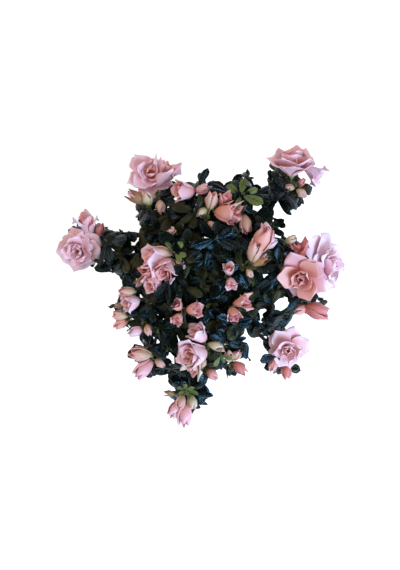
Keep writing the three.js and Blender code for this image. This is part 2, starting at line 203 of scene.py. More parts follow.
def open_mesh():
    """Opens the active piece for editing, with all of it selected."""
    bpy.ops.object.mode_set(mode="EDIT")
    bpy.ops.mesh.select_all(action="SELECT")


def close_mesh():
    """Turns all faces of the opened piece outwards and ends the editing."""
    bpy.ops.mesh.select_all(action="SELECT")
    bpy.ops.mesh.normals_make_consistent(inside=False)
    bpy.ops.object.mode_set(mode="OBJECT")


def pull_through(stations, extrude, radius_now, height_now):
    """Pulls the selected round edge or face through stations, each a radius and a height."""
    for radius, height in stations:
        extrude(TRANSFORM_OT_translate={"value": (0, 0, height - height_now)})
        share = radius / radius_now
        bpy.ops.transform.resize(value=(share, share, 1), center_override=(0, 0, height))
        radius_now, height_now = radius, height


def pot_outside(height):
    share = height / pot_high.z
    return FOOT_RADIUS + (RIM_RADIUS - BAND_STEP - FOOT_RADIUS) * share


band_foot = pot_high.z - BAND_HEIGHT
profile = [(FOOT_RADIUS, FOOT_ROUND)]
for ring in range(RING_COUNT * 3 + 1):
    height = 1.6 * mm + (band_foot - 3.6 * mm) * ring / (RING_COUNT * 3)
    ripple = RING_DEPTH * (math.cos(2 * math.pi * ring / 3) - 1)
    profile.append((pot_outside(height) + ripple, height))
profile += [
    (pot_outside(band_foot) + 0.4 * mm, band_foot - 0.9 * mm),
    (RIM_RADIUS - 1.9 * mm, band_foot - 0.2 * mm),
    (RIM_RADIUS - 0.8 * mm, band_foot + 1.2 * mm),
    (RIM_RADIUS - 0.3 * mm, pot_high.z - 6 * mm),
    (RIM_RADIUS, pot_high.z - 2.6 * mm),
    (RIM_RADIUS - 0.6 * mm, pot_high.z - 1.0 * mm),
    (RIM_RADIUS - 1.7 * mm, pot_high.z - 0.2 * mm),
    (RIM_RADIUS - 3.2 * mm, pot_high.z),
    (RIM_RADIUS - 5.0 * mm, pot_high.z - 0.3 * mm),
    (RIM_RADIUS - 6.4 * mm, pot_high.z - 1.4 * mm),
    (RIM_RADIUS - BAND_STEP - POT_WALL, pot_high.z - 3.2 * mm),
    (pot_outside(SOIL_TOP) - POT_WALL, SOIL_TOP),
    (pot_outside(6 * mm) - POT_WALL, 6 * mm),
]

pot = disc("glazed_pot", POT_SIDES, FOOT_RADIUS - FOOT_ROUND, 0)
open_mesh()
pull_through(profile, bpy.ops.mesh.extrude_region_move, FOOT_RADIUS - FOOT_ROUND, 0)
close_mesh()
bpy.ops.object.shade_smooth_by_angle(angle=math.radians(50))
pot.data.materials.append(
    speckled("glaze", (0.58, 0.55, 0.49), (0.48, 0.45, 0.39), 60, 0.16, 0.05 * mm, 300, coat=0.4)
)
pot.data.materials.append(
    speckled("bare_stoneware", (0.45, 0.36, 0.27), (0.33, 0.25, 0.18), 500, 0.8, 0.12 * mm, 1500)
)
for face in pot.data.polygons:
    face.material_index = int(face.center.z < POT_BARE_FOOT and face.center.xy.length > 1 * mm)
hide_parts("pot")
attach(pot, "root")


# ---------------------------------------------------------------- soil
# Moist dark peat, pressed level and a little lower at the wall, with loose crumbs and bits of bark.
CRUMBS = 620
CRUMB_SIZE = (0.7 * mm, 2.1 * mm)
CHIPS = 60
CHIP_SIZE = (2.6 * mm, 5 * mm)
FLAT_RINGS, FLAT_STEP = 14, 2.6 * mm

soil_low, soil_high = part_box("soil")
SOIL_RADIUS = soil_high.x - 0.3 * mm
FLAT_RADIUS = SOIL_RADIUS - 11 * mm
dice = np.random.default_rng(7)


def joined(name, points, faces, materials, marks=None, tiles=None):
    """A mesh object from arrays: points, faces of like sides, their materials and corners' tiles."""
    mesh = bpy.data.meshes.new(name)
    mesh.vertices.add(len(points))
    mesh.vertices.foreach_set("co", np.asarray(points, np.float32).ravel())
    sizes = [faces.shape[1]] * len(faces)
    mesh.loops.add(faces.size)
    mesh.loops.foreach_set("vertex_index", faces.ravel().astype(np.int32))
    mesh.polygons.add(len(faces))
    mesh.polygons.foreach_set("loop_start", np.concatenate([[0], np.cumsum(sizes)[:-1]]).astype(np.int32))
    for material in materials:
        mesh.materials.append(material)
    if marks is not None:
        mesh.polygons.foreach_set("material_index", marks.astype(np.int32))
    if tiles is not None:
        mesh.uv_layers.new(name="along").data.foreach_set("uv", np.asarray(tiles, np.float32).ravel())
    mesh.update(calc_edges=True)
    mesh.validate()
    made = bpy.data.objects.new(name, mesh)
    bpy.context.collection.objects.link(made)
    bpy.ops.object.select_all(action="DESELECT")
    made.select_set(True)
    bpy.context.view_layer.objects.active = made
    return made


def taken_apart(model):
    """The arrays of a modelled object, with faces all of four corners, and the object removed."""
    mesh = model.data
    points = np.array([vertex.co for vertex in mesh.vertices])
    faces = np.array([face.vertices[:] for face in mesh.polygons])
    marks = np.array([face.material_index for face in mesh.polygons])
    tiles = np.array([spot.uv for spot in mesh.uv_layers[0].data]).reshape(len(faces), -1, 2)
    bpy.data.objects.remove(model)
    return points, faces, marks, tiles


def spread(name, models, places, materials):
    """Joins a copy of models[kind] for each (kind, origin, along, across, up); the axes hold its size."""
    parts = []
    first = 0
    for kind, (points, faces, marks, tiles) in enumerate(models):
        mine = [place[1:] for place in places if place[0] == kind]
        if not mine:
            continue
        origin, *axes = (np.array([place[i] for place in mine]) for i in range(4))
        moved = origin[:, None, :] + sum(points[None, :, i, None] * axes[i][:, None, :] for i in range(3))
        offsets = first + len(points) * np.arange(len(mine))
        parts.append((
            moved.reshape(-1, 3),
            (faces[None] + offsets[:, None, None]).reshape(-1, faces.shape[1]),
            np.tile(marks, len(mine)),
            np.tile(tiles.reshape(-1, 2), (len(mine), 1)),
        ))
        first += len(points) * len(mine)
    points, faces, marks, tiles = map(np.concatenate, zip(*parts))
    return joined(name, points, faces, materials, marks, tiles)


soil = disc("peat", 72, FLAT_RADIUS, soil_high.z)
open_mesh()
for _ in range(FLAT_RINGS):
    bpy.ops.mesh.inset(thickness=FLAT_STEP)
bpy.ops.mesh.select_all(action="SELECT")
bpy.ops.mesh.region_to_loop()
edge_of_soil = [
    (SOIL_RADIUS - 7 * mm, soil_high.z - 1 * mm),
    (SOIL_RADIUS - 4 * mm, soil_high.z - 2.4 * mm),
    (SOIL_RADIUS - 1.2 * mm, soil_high.z - 4 * mm),
    (SOIL_RADIUS - 8 * mm, soil_high.z - 40 * mm),
    (SOIL_RADIUS - 18 * mm, soil_low.z + 1 * mm),
]
pull_through(edge_of_soil, bpy.ops.mesh.extrude_edges_move, FLAT_RADIUS, soil_high.z)
bpy.ops.mesh.fill()
close_mesh()
peat = speckled("peat", (0.050, 0.032, 0.020), (0.018, 0.011, 0.007), 420, 0.92, 0.5 * mm, 900)
soil.data.materials.append(peat)


def reshape(piece, kind, **settings):
    """Puts the selected piece through one of Blender's modifiers at once."""
    step = piece.modifiers.new(kind, kind)
    for name, value in settings.items():
        setattr(step, name, value)
    bpy.ops.object.modifier_apply(modifier=kind)


def clouds(name, scale, depth):
    made = bpy.data.textures.new(name, "CLOUDS")
    made.noise_scale = scale
    made.noise_depth = depth
    return made


lumps = clouds("lumps", 3.2 * mm, 3)
reshape(soil, "DISPLACE", texture=lumps, direction="Z", strength=1.6 * mm, mid_level=0.9)
bpy.ops.object.shade_smooth()
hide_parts("soil")
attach(soil, "root")


def model_lump(squash):
    """A crumb a unit across: a rough ball, dented at random and flattened."""
    lump = fresh(bpy.ops.mesh.primitive_cube_add, size=1, location=(0, 0, 0))
    open_mesh()
    bpy.ops.mesh.subdivide(number_cuts=1, smoothness=1)
    bpy.ops.object.mode_set(mode="OBJECT")
    for vertex in lump.data.vertices:
        vertex.co *= dice.uniform(0.72, 1.1)
        vertex.co.z *= squash
    return taken_apart(lump)


def turned(size, lean=math.pi):
    """Three square axes of a length, turned at random and leaning over by up to `lean`."""
    spin, tilt, way = dice.uniform(0, 2 * math.pi), dice.uniform(0, lean), dice.uniform(0, 2 * math.pi)
    up = np.array([math.sin(tilt) * math.cos(way), math.sin(tilt) * math.sin(way), math.cos(tilt)])
    side = np.cross(up, [math.cos(spin), math.sin(spin), 0.3])
    side /= np.linalg.norm(side)
    return side * size, np.cross(up, side) * size, up * size


crumb_places = []
for crumb in range(CRUMBS + CHIPS):
    reach = (SOIL_RADIUS - 6 * mm) * math.sqrt(dice.uniform(0.035, 1))
    bearing = dice.uniform(0, 2 * math.pi)
    size = dice.uniform(*CRUMB_SIZE) if crumb < CRUMBS else dice.uniform(*CHIP_SIZE)
    level = soil_high.z - 1.3 * mm - 2 * mm * max(0, (reach / SOIL_RADIUS - 0.8) / 0.2)
    spot = (reach * math.cos(bearing), reach * math.sin(bearing), level + 0.25 * size)
    kind = int(dice.integers(3)) if crumb < CRUMBS else 3
    crumb_places.append((kind, spot, *turned(size, math.pi if crumb < CRUMBS else 0.5)))
crumbs = spread(
    "peat_crumbs",
    [model_lump(1.0), model_lump(0.8), model_lump(0.65), model_lump(0.25)],
    crumb_places,
    [speckled("peat_crumbs", (0.085, 0.055, 0.034), (0.022, 0.014, 0.009), 300, 0.9, 0.2 * mm, 1500)],
)
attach(crumbs, "root")


# ---------------------------------------------------------------- trunk and boughs
# One short trunk, flared at its foot, with boughs that fork low and turn up towards their masses. The
# bark is grey-brown and thin, with shallow cracks along the limb.
TRUNK = {"fork_height": 143, "lean_bearing": 70, "lean": 4, "foot": 8.0, "tip": 6.0}
FLARE = {"swell": 0.65, "fade": 7, "ridges": 5, "ridge_depth": 0.3}
MAIN_BOUGH = (3.6, 2.3)  # radii at its foot and its tip
SIDE_BOUGH = (2.7, 2.0)
CROWN = {"top": 296, "fall": 62, "fall_reach": 150, "reach": 180, "floor": 122}
HEART_DEPTH = 46
STEM_LENGTH = 17
BEND = {"out": 0.62, "up": 0.36}  # where a bough bends, as shares of its way to its mass
TRUNK_MESH = (44, 60)  # sides and steps
BOUGH_MESH = (18, 48)
BARK_GRAIN = 0.75 * mm

# Each mass: the bearing and reach of its heart, the radius of its space, its parent limb and the share
# along that where its bough forks off.
MASSES = {
    "centre": (12, 37, 66, "trunk", 0.97),
    "north_west": (119, 131, 52, "trunk", 0.95),
    "north_east": (54, 142, 58, "trunk", 0.62),
    "east": (3, 112, 58, "trunk", 0.9),
    "south_east": (316, 106, 52, "trunk", 0.66),
    "south_west": (226, 98, 48, "trunk", 0.86),
    "west": (161, 138, 52, "trunk", 0.58),
    "north": (90, 86, 60, "north_east", 0.35),
    "south": (256, 124, 50, "south_west", 0.36),
    "south_inner": (287, 80, 56, "south_east", 0.3),
    "centre_south": (241, 50, 56, "south_west", 0.2),
    "west_inner": (156, 61, 66, "west", 0.3),
    "west_south_west": (195, 90, 46, "west", 0.2),
}


def polar(bearing, reach, height):
    angle = math.radians(bearing)
    return np.array([reach * math.cos(angle), reach * math.sin(angle), height])


def unit(vector):
    return vector / np.linalg.norm(vector)


def crown_height(reach):
    return CROWN["top"] - CROWN["fall"] * (reach / CROWN["fall_reach"]) ** 2


def within(limits, share):
    least, most = limits
    return least + (most - least) * share


def on_curve(curve, share):
    start, bend, end = curve
    return (1 - share) ** 2 * start + 2 * share * (1 - share) * bend + share**2 * end


def way_of(curve, share):
    start, bend, end = curve
    return unit((1 - share) * (bend - start) + share * (end - bend))


def side_of(curve):
    start, bend, end = curve
    side = np.cross(bend - start, end - start)
    if np.linalg.norm(side) < 0.03:
        side = np.cross([0, 0, 1], end - start)
    return unit(side) if np.linalg.norm(side) > 1e-6 else np.array([1.0, 0, 0])


def leaning(axis, side, lean, turn):
    """The direction that leans from `axis` by `lean`, turned about it by `turn` from `side`."""
    return (
        axis * math.cos(lean)
        + side * math.sin(lean) * math.cos(turn)
        + np.cross(axis, side) * math.sin(lean) * math.sin(turn)
    )


def tube(curve, radius_at, sides, steps):
    """Points and faces of a tube along a curve, in millimetres, with an end face of no width."""
    side = side_of(curve)
    shares = np.linspace(0, 1, steps + 1)
    angles = np.arange(sides) * 2 * math.pi / sides
    rings = [np.tile(on_curve(curve, 0), (sides, 1))]
    for share in shares:
        middle, way = on_curve(curve, share), way_of(curve, share)
        rings.append([middle + leaning(way, side, math.pi / 2, a) * radius_at(share, a) for a in angles])
    rings.append(np.tile(on_curve(curve, 1), (sides, 1)))
    points = np.concatenate([np.asarray(ring) for ring in rings])
    ring, spoke = np.meshgrid(np.arange(len(rings) - 1), np.arange(sides), indexing="ij")
    low, high = ring * sides, (ring + 1) * sides
    onward = (spoke + 1) % sides
    corners = [low + spoke, low + onward, high + onward, high + spoke]
    return points, np.stack(corners, -1).reshape(-1, 4)


def tubes(name, parts, material):
    """Joins tubes, each (curve, radius_at, sides, steps), as one mesh in metres."""
    points, faces, first = [], [], 0
    for part in parts:
        own_points, own_faces = tube(*part)
        points.append(own_points)
        faces.append(own_faces + first)
        first += len(own_points)
    made = joined(name, np.concatenate(points) * mm, np.concatenate(faces), [material])
    open_mesh()
    bpy.ops.mesh.remove_doubles(threshold=1e-6)
    bpy.ops.object.mode_set(mode="OBJECT")
    bpy.ops.object.shade_smooth()
    return made


def bark_radius(foot, tip, flare=0.0, seed=0.0):
    """A limb's radius from the share of its length and the angle, with the cracks of its bark."""

    def radius(share, angle):
        plain = within((foot, tip), share)
        ridge = 1 + FLARE["ridge_depth"] * math.cos(FLARE["ridges"] * angle)
        swollen = plain * (1 + flare * math.exp(-FLARE["fade"] * share) * ridge)
        wander = 1.3 * math.sin(9 * share + seed) + 0.7 * math.sin(23 * share + 2 * seed)
        crack = math.sin(9 * angle + wander) * 0.6 + math.sin(14 * angle - 1.7 * wander) * 0.4
        knot = math.exp(-(((share * 5.3 + seed) % 1 - 0.5) ** 2) * 60)
        return swollen * (1 + 0.045 * crack + 0.07 * knot)

    return radius


fork = polar(TRUNK["lean_bearing"], TRUNK["lean"], TRUNK["fork_height"])
foot = np.array([0, 0, SOIL_TOP / mm - 1.5])
limbs = {"trunk": (foot, np.array([0, 0, (foot[2] + fork[2]) / 2]), fork)}
limb_parts = [(limbs["trunk"], bark_radius(TRUNK["foot"], TRUNK["tip"], FLARE["swell"]), *TRUNK_MESH)]
masses = []
for number, (name, (bearing, reach, room_radius, parent, at)) in enumerate(MASSES.items()):
    heart = polar(bearing, reach, crown_height(reach) - HEART_DEPTH)
    start = on_curve(limbs[parent], at)
    bend = start + (heart - start) * BEND["out"]
    bend[2] = start[2] + (heart[2] - start[2]) * BEND["up"]
    arrival = unit(heart - bend)
    limbs[name] = (start, bend, heart - arrival * STEM_LENGTH)
    radii = MAIN_BOUGH if parent == "trunk" else SIDE_BOUGH
    limb_parts.append((limbs[name], bark_radius(*radii, seed=number), *BOUGH_MESH))
    masses.append({
        "bearing": bearing, "heart": heart, "spread": room_radius, "arrival": arrival,
        "stem_foot": radii[1], "seed": number + 1,
    })

bark = speckled("bark", (0.165, 0.115, 0.078), (0.060, 0.038, 0.025), 260, 0.86, 0.35 * mm, 700)
wood = tubes("trunk_and_boughs", limb_parts, bark)
reshape(wood, "REMESH", mode="VOXEL", voxel_size=BARK_GRAIN)
reshape(wood, "SMOOTH", iterations=2)
reshape(wood, "DISPLACE", texture=clouds("flakes", 1.8 * mm, 2), strength=0.5 * mm)
bpy.ops.object.shade_smooth()
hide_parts("trunk", *("bough_" + name for name in MASSES))
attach(wood, "root")


# ---------------------------------------------------------------- how the shoots grow
# In each mass the shoots fork from the stem and from the shoots before them, and each arrives at its
# tip along the crown's outward direction. Trusses of blossom end the strongest, and whorls of leaves
# the rest, with finer side shoots below them. Nothing grows into the crown's open places.
TIP_SPACING = 14
TIP_DEPTH = (3, 18)
SKIRT = {"shoots": 3, "length": 38, "arc": 240, "fall": (10, 65)}
TRUSS_DEPTH = 14
SHOOT_SPACING = 18
TIP_INSET = 5
FORK = {"shares": (0.55, 0.8), "least_rise": 14, "straight": 0.45}
GOLDEN_ANGLE = 137.508
LEAVES_PER_WHORL = 6
PETAL_RING_DRAWS = 16  # that an open flower takes from its mass's stream
SIDE_SHOOTS = 2
INNER_REACH = 95  # within which a tip has one side shoot more
SIDE_REACH = (11, 18)
SIDE_FALL = (6, 22)
SIDE_FORK = (0.45, 0.75)
SIDE_SLANT = 0.45
LONGEST_STALK = 22
LATE = {"spacing": 7, "depth": (10.8, 25.2), "bare": 13, "reach": 122}
OPENING_MARGIN = 3
BLOSSOM_RISE = 4  # of a blossom's foot above the knobs of the trusses
OPEN_ROOM = (0, 14, 23)  # an open flower's room: its start and end along its axis, and its radius
SIDE_ROOM = (16, 24, 17)
ROOM_KEPT = {"around": 0.9, "above": 0.85}  # the share of its room's radius that leaves keep out of
WHORL_RISE = {"young": 6, "old": 2, "dark": 2}

# Each truss: the bearing and reach of its knob, and how many of its flowers are open.
TRUSSES = [
    (116, 148, 1), (100, 112, 0), (81, 99, 0), (66, 94, 0), (124, 73, 0), (162, 156, 1), (154, 151, 0),
    (158, 60, 0), (172, 69, 0), (189, 93, 0), (233, 116, 0), (227, 42, 0), (254, 75, 0), (256, 136, 0),
    (19, 24, 0), (325, 45, 0), (37, 78, 0), (55, 168, 1), (6, 114, 1), (10, 136, 1), (22, 114, 0),
    (347, 127, 0), (323, 115, 1), (310, 129, 0), (287, 96, 0),
]

# Each blossom: how far right and back of the trunk its foot looks from above, its kind and tint, its
# length (or an open flower's share of full size), how far it leans over and towards which bearing, and
# for some how far above or below its neighbours it stands.
BLOSSOMS = [
    # on the far left
    (-72, 127, "open", "pale", 1.04, 24, 60),
    (-62, 119, "star", "pale", 38, 66, 58),
    (-74, 98, "brown", "brown", 27, 76, 150),
    (-70, 96, "bud", "cream", 18, 62, 110),
    (-58, 101, "bud", "tan", 17, 65, 280),
    (-52, 62, "bud", "tan", 17, 50, 20),
    (-17, 112, "rose", "pink", 26, 62, 180),
    (-14, 112, "tight", "pink", 20, 55, 15),
    # at the back
    (2, 91, "tight", "tan", 23, 60, 78),
    (14, 94, "star", "salmon", 20, 58, 55),
    (9, 87, "rose", "salmon", 27, 70, 352),
    (17, 84, "star", "salmon", 27, 72, 5),
    (-3, 92, "bud", "cream", 15, 65, 230),
    (42, 84, "tight", "tan", 24, 70, 282),
    (0, 75, "bud", "tan", 14, 60, 320),
    (100, 126, "side", "pale", 1.14, 66, 88),
    (115, 143, "star", "lilac", 30, 86, 322),
    (103, 116, "bud", "tan", 12, 70, 170),
    (110, 119, "bud", "rose", 12, 60, 60),
    (107, 114, "bud", "tan", 15, 65, 320),
    # on the left
    (-151, 44, "flat", "pale", 1.08, 20, 235),
    (-141, 58, "star", "pale", 33, 60, 100),
    (-130, 60, "bud", "rose", 16, 60, 80),
    (-44, 37, "tight", "tan", 22, 60, 168),
    (-49, 32, "rose", "pale", 30, 65, 175),
    (-46, 30, "rose", "pink", 28, 48, 250),
    (-63, 12, "rose", "rose", 20, 50, 140),
    (-58, 10, "rose", "pink", 22, 60, 225),
    (-76, 10, "brown", "brown", 16, 75, 225),
    (-38, 29, "bud", "tan", 14, 70, 325),
    (-88, -7, "tight", "tan", 20, 65, 190),
    (-83, -18, "rose", "pale", 21, 60, 200),
    (-101, -24, "brown", "brown", 12, 80, 180),
    (-97, -38, "tight", "tan", 19, 75, 170),
    (-97, -42, "tight", "salmon", 18, 75, 212),
    (-80, -52, "bud", "pale", 18, 70, 210),
    (-73, -48, "bud", "tan", 15, 60, 285),
    # on the near left
    (-69, -84, "tight", "tan", 26, 65, 175),
    (-68, -91, "tight", "pink", 28, 68, 225),
    (-63, -90, "bud", "tan", 14, 75, 325),
    (-72, -80, "brown", "brown", 18, 80, 163),
    (-33, -29, "rose", "salmon", 14, 48, 130),
    (-33, -35, "rose", "salmon", 14, 55, 240),
    (-25, -30, "rose", "salmon", 18, 58, 5),
    (-4, -66, "rose", "pale", 23, 58, 135),
    (-4, -80, "rose", "pale", 33, 46, 190),
    (-8, -83, "star", "cream", 29, 62, 235),
    (0, -71, "brown", "cream", 21, 75, 350),
    (-5, -87, "bud", "tan", 15, 60, 250),
    (-1, -102, "bud", "salmon", 17, 75, 320),
    (-34, -139, "tight", "pink", 24, 72, 238),
    (-31, -132, "tight", "tan", 19, 60, 258),
    (-28, -140, "tight", "pink", 30, 72, 268),
    (-21, -132, "tight", "cream", 18, 70, 285),
    (-40, -131, "brown", "brown", 14, 80, 170),
    # in the middle
    (26, 13, "rose", "pink", 14, 45, 100),
    (26, 8, "rose", "pink", 14, 50, 285),
    (31, -23, "star", "salmon", 22, 60, 15),
    (28, -28, "rose", "salmon", 18, 50, 290),
    (27, -91, "bud", "tan", 16, 50, 110),
    (30, -89, "bud", "tan", 16, 60, 50),
    (31, -93, "tight", "rose", 20, 65, 320),
    # on the right
    (53, 28, "tight", "tan", 28, 58, 78),
    (58, 38, "tight", "salmon", 35, 68, 66),
    (72, 58, "bud", "pale", 18, 70, 108),
    (67, 45, "tight", "pale", 19, 70, 35),
    (53, 24, "brown", "brown", 22, 75, 28),
    (47, 19, "bud", "tan", 12, 75, 300),
    (93, 51, "bud", "cream", 15, 70, 25),
    (116, 16, "cup", "pink", 1.15, 32, 235, 6),
    (127, 23, "flat", "lilac", 1.58, 57, 358, -16),
    (112, 28, "star", "rose", 27, 65, 95),
    (104, 27, "brown", "brown", 14, 75, 150),
    (116, -27, "tight", "rose", 31, 72, 345),
    (118, -27, "bud", "salmon", 17, 65, 200),
    (95, -72, "open", "pale", 0.98, 22, 268),
    (80, -88, "tight", "salmon", 17, 65, 255),
    (91, -94, "tight", "rose", 20, 65, 285),
]
# A furled blossom's radius, as a share of its length.
SLENDER = {"rose": 0.4, "tight": 0.29, "star": 0.33, "bud": 0.33, "brown": 0.27}

# Places where the table shows from above, with the bays in the crown's edge: right, back and radius.
OPENINGS = [
    # bays
    (118, 78, 16), (146, 86, 30), (152, 122, 20), (62, 143, 12), (12, 131, 6), (38, 150, 13),
    (-28, 140, 13), (20, 139, 14), (33, 134, 5), (74, 118, 3), (63, 129, 7), (85, 95, 4), (62, 121, 4),
    (84, 86, 5), (98, 76, 6), (101, 68, 6), (86, 64, 3), (118, 56, 7), (136, 62, 10), (-106, 86, 18),
    (-92, 72, 6), (-134, 12, 4), (-98, 112, 16), (-122, -4, 17), (-165, 10, 22), (-184, 45, 12),
    (-116, -72, 21), (-130, -40, 14), (-75, -141, 26), (-104, -112, 22), (38, -142, 26), (10, -119, 10),
    (-3, -162, 13), (-50, -160, 14), (-30, -176, 10), (12, -104, 4), (53, -111, 16), (62, -80, 6),
    (57, -89, 3), (28, -117, 5), (-60, -111, 4), (147, -14, 6), (104, -46, 5), (142, -68, 24),
    (116, -44, 9), (152, -40, 14), (166, -14, 14), (102, -51, 8), (97, -126, 20), (128, -97, 14),
    (117, -66, 7), (117, -92, 9), (84, -118, 7), (62, -104, 5), (76, -109, 5), (-54, -116, 7),
    (-140, 100, 22),
    # gaps
    (60, 94, 4), (89, -23, 6), (69, 11, 4.5), (77, 31, 3), (-3, 58, 2.5), (55, -47, 3), (65, -36, 3),
    (42, -59, 5.5), (63, -68, 5), (-76, -34, 2.5), (-59, -36, 3.5), (-64, -43, 3), (-89, -47, 3.5),
    (-64, -65, 4), (-86, -66, 5), (-62, -72, 3.5), (-42, -68, 5), (-44, -88, 5), (-28, -108, 4.5),
    (9, -87, 3.5), (-90, 51, 3.5), (-93, 33, 3.5), (31, 77, 2.5), (-58, 52, 2.5), (-20, 12, 2.5),
]

# Whorls of leaves on top of the rest: how far right and back of the trunk, their size and kind.
WHORLS = [
    (40, 109, 0.92, "young"), (-40, 38, 0.55, "young"), (-27, -128, 0.5, "young"),
    (15, -84, 0.45, "young"), (58, 46, 0.4, "young"),
    (98, 115, 1.0, "old"), (-123, 54, 1.1, "dark"), (-12, 120, 0.88, "old"),
    (-22, -131, 0.95, "old"), (84, -87, 0.75, "old"), (44, 92, 0.9, "old"), (-30, 24, 0.95, "old"),
    (-100, -31, 0.7, "old"), (-47, 6, 1.0, "old"), (22, -68, 0.9, "old"), (32, -46, 0.8, "old"),
    (10, 55, 1.0, "old"), (92, -34, 0.9, "old"), (44, -74, 0.9, "old"),
]


def stream(seed):
    """A repeatable stream of numbers from 0 to 1."""
    state = seed

    def draw():
        nonlocal state
        state = (state * 1664525 + 1013904223) % 2**32
        return state / 2**32

    return draw


def in_space(mass, point, inset):
    """Whether a point is in a mass's own space: a column about its heart, on its side of the others."""
    off = (point - mass["heart"])[:2]
    if point[2] < CROWN["floor"] or np.linalg.norm(off) > mass["spread"] - inset:
        return False
    for other in masses:
        between = (other["heart"] - mass["heart"])[:2]
        gap = np.linalg.norm(between)
        if other is not mass and off @ between / gap >= gap / 2 - inset:
            return False
    return True


def outwards(point):
    """The direction in which the crown's surface faces at a point."""
    reach = np.hypot(point[0], point[1])
    slope = 2 * CROWN["fall"] * reach / CROWN["fall_reach"] ** 2
    return unit(np.array([point[0] / reach * slope, point[1] / reach * slope, 1]))


def scattered(count, random, least, most, stray=0.16):
    """Blades round a ring as (turn, lean, size)."""
    first = random() * 2 * math.pi
    blades = []
    for i in range(count):
        turn = first + (i + stray * (random() - 0.5)) * 2 * math.pi / count
        lean = math.radians(within((least, most), random()))
        blades.append((turn, lean, 0.82 + 0.3 * random()))
    return blades


lens_spot = np.array(LENS_PLACE) / mm


def nearness(height):
    """How large the lens sees things at a height, against those on the level of the blossom."""
    return (LENS_HEIGHT - CROWN_LEVEL) / (LENS_HEIGHT - height * mm)


def in_opening(point, margin):
    """Whether a point lies over an opening as seen from above, or nearer to it than a margin."""
    spot = lens_spot + (point[:2] - lens_spot) * nearness(point[2])
    return any(math.hypot(spot[0] - x, spot[1] - y) < radius + margin for x, y, radius in OPENINGS)


# Each blossom has a room of its own, which leaves keep out of: from one place to another, and a radius.
blossoms = []
for x, y, kind, tint, size, lean, towards, *lift in BLOSSOMS:
    height = crown_height(math.hypot(x, y)) - TRUSS_DEPTH + BLOSSOM_RISE + sum(lift)
    foot = np.array([*(lens_spot + ([x, y] - lens_spot) / nearness(height)), height])
    axis = polar(towards, math.sin(math.radians(lean)), math.cos(math.radians(lean)))
    if kind in SLENDER:
        near, far, radius = 0, size, SLENDER[kind] * size
    else:
        near, far, radius = (part * size for part in (SIDE_ROOM if kind == "side" else OPEN_ROOM))
    room = (foot + axis * near, foot + axis * far, radius)
    blossoms.append({"foot": foot, "axis": axis, "room": room, "kind": kind, "tint": tint, "size": size})


def hides_blossom(point):
    """Whether a point is in a blossom's room, or over it as seen from above."""
    for blossom in blossoms:
        near, far, radius = blossom["room"]
        along = far - near
        share = np.clip((point - near) @ along / (along @ along), 0, 1)
        off = point - near - share * along
        above = off[2] > 0 and math.hypot(off[0], off[1]) < radius * ROOM_KEPT["above"]
        if above or np.linalg.norm(off) < radius * ROOM_KEPT["around"]:
            return True
    return False


def is_free(tip):
    """Whether a shoot may end at a point: over no opening and no blossom."""
    return not in_opening(tip, OPENING_MARGIN) and not hides_blossom(tip)


def fork_for(twigs, tip, axis):
    """The twig that forks from the handiest place and arrives at its tip along an axis."""
    forks = [on_curve(twig, share) for twig in twigs for share in FORK["shares"]]
    low = FORK["least_rise"]
    start = min(forks, key=lambda fork: np.linalg.norm(fork - tip) + 2 * max(0, low - (tip[2] - fork[2])))
    return (start, tip - axis * FORK["straight"] * np.linalg.norm(start - tip), tip)


def evenly_spread(spacing, widest):
    """Bearings and reaches of places that lie evenly in a circle, like a sunflower's seeds."""
    for i in range(int((widest / spacing) ** 2)):
        yield i * GOLDEN_ANGLE, spacing * math.sqrt(i + 0.5)


dome_random = stream(0)
dome_tips = []
for bearing, reach in evenly_spread(TIP_SPACING, CROWN["reach"]):
    depth = within(TIP_DEPTH, dome_random())
    dome_tips.append(polar(bearing, reach, crown_height(reach) - depth))

shoots = []
stems = []
all_twigs = []


def add_shoot(curve, blades, kind):
    shoots.append({"curve": curve, "blades": blades, "kind": kind})


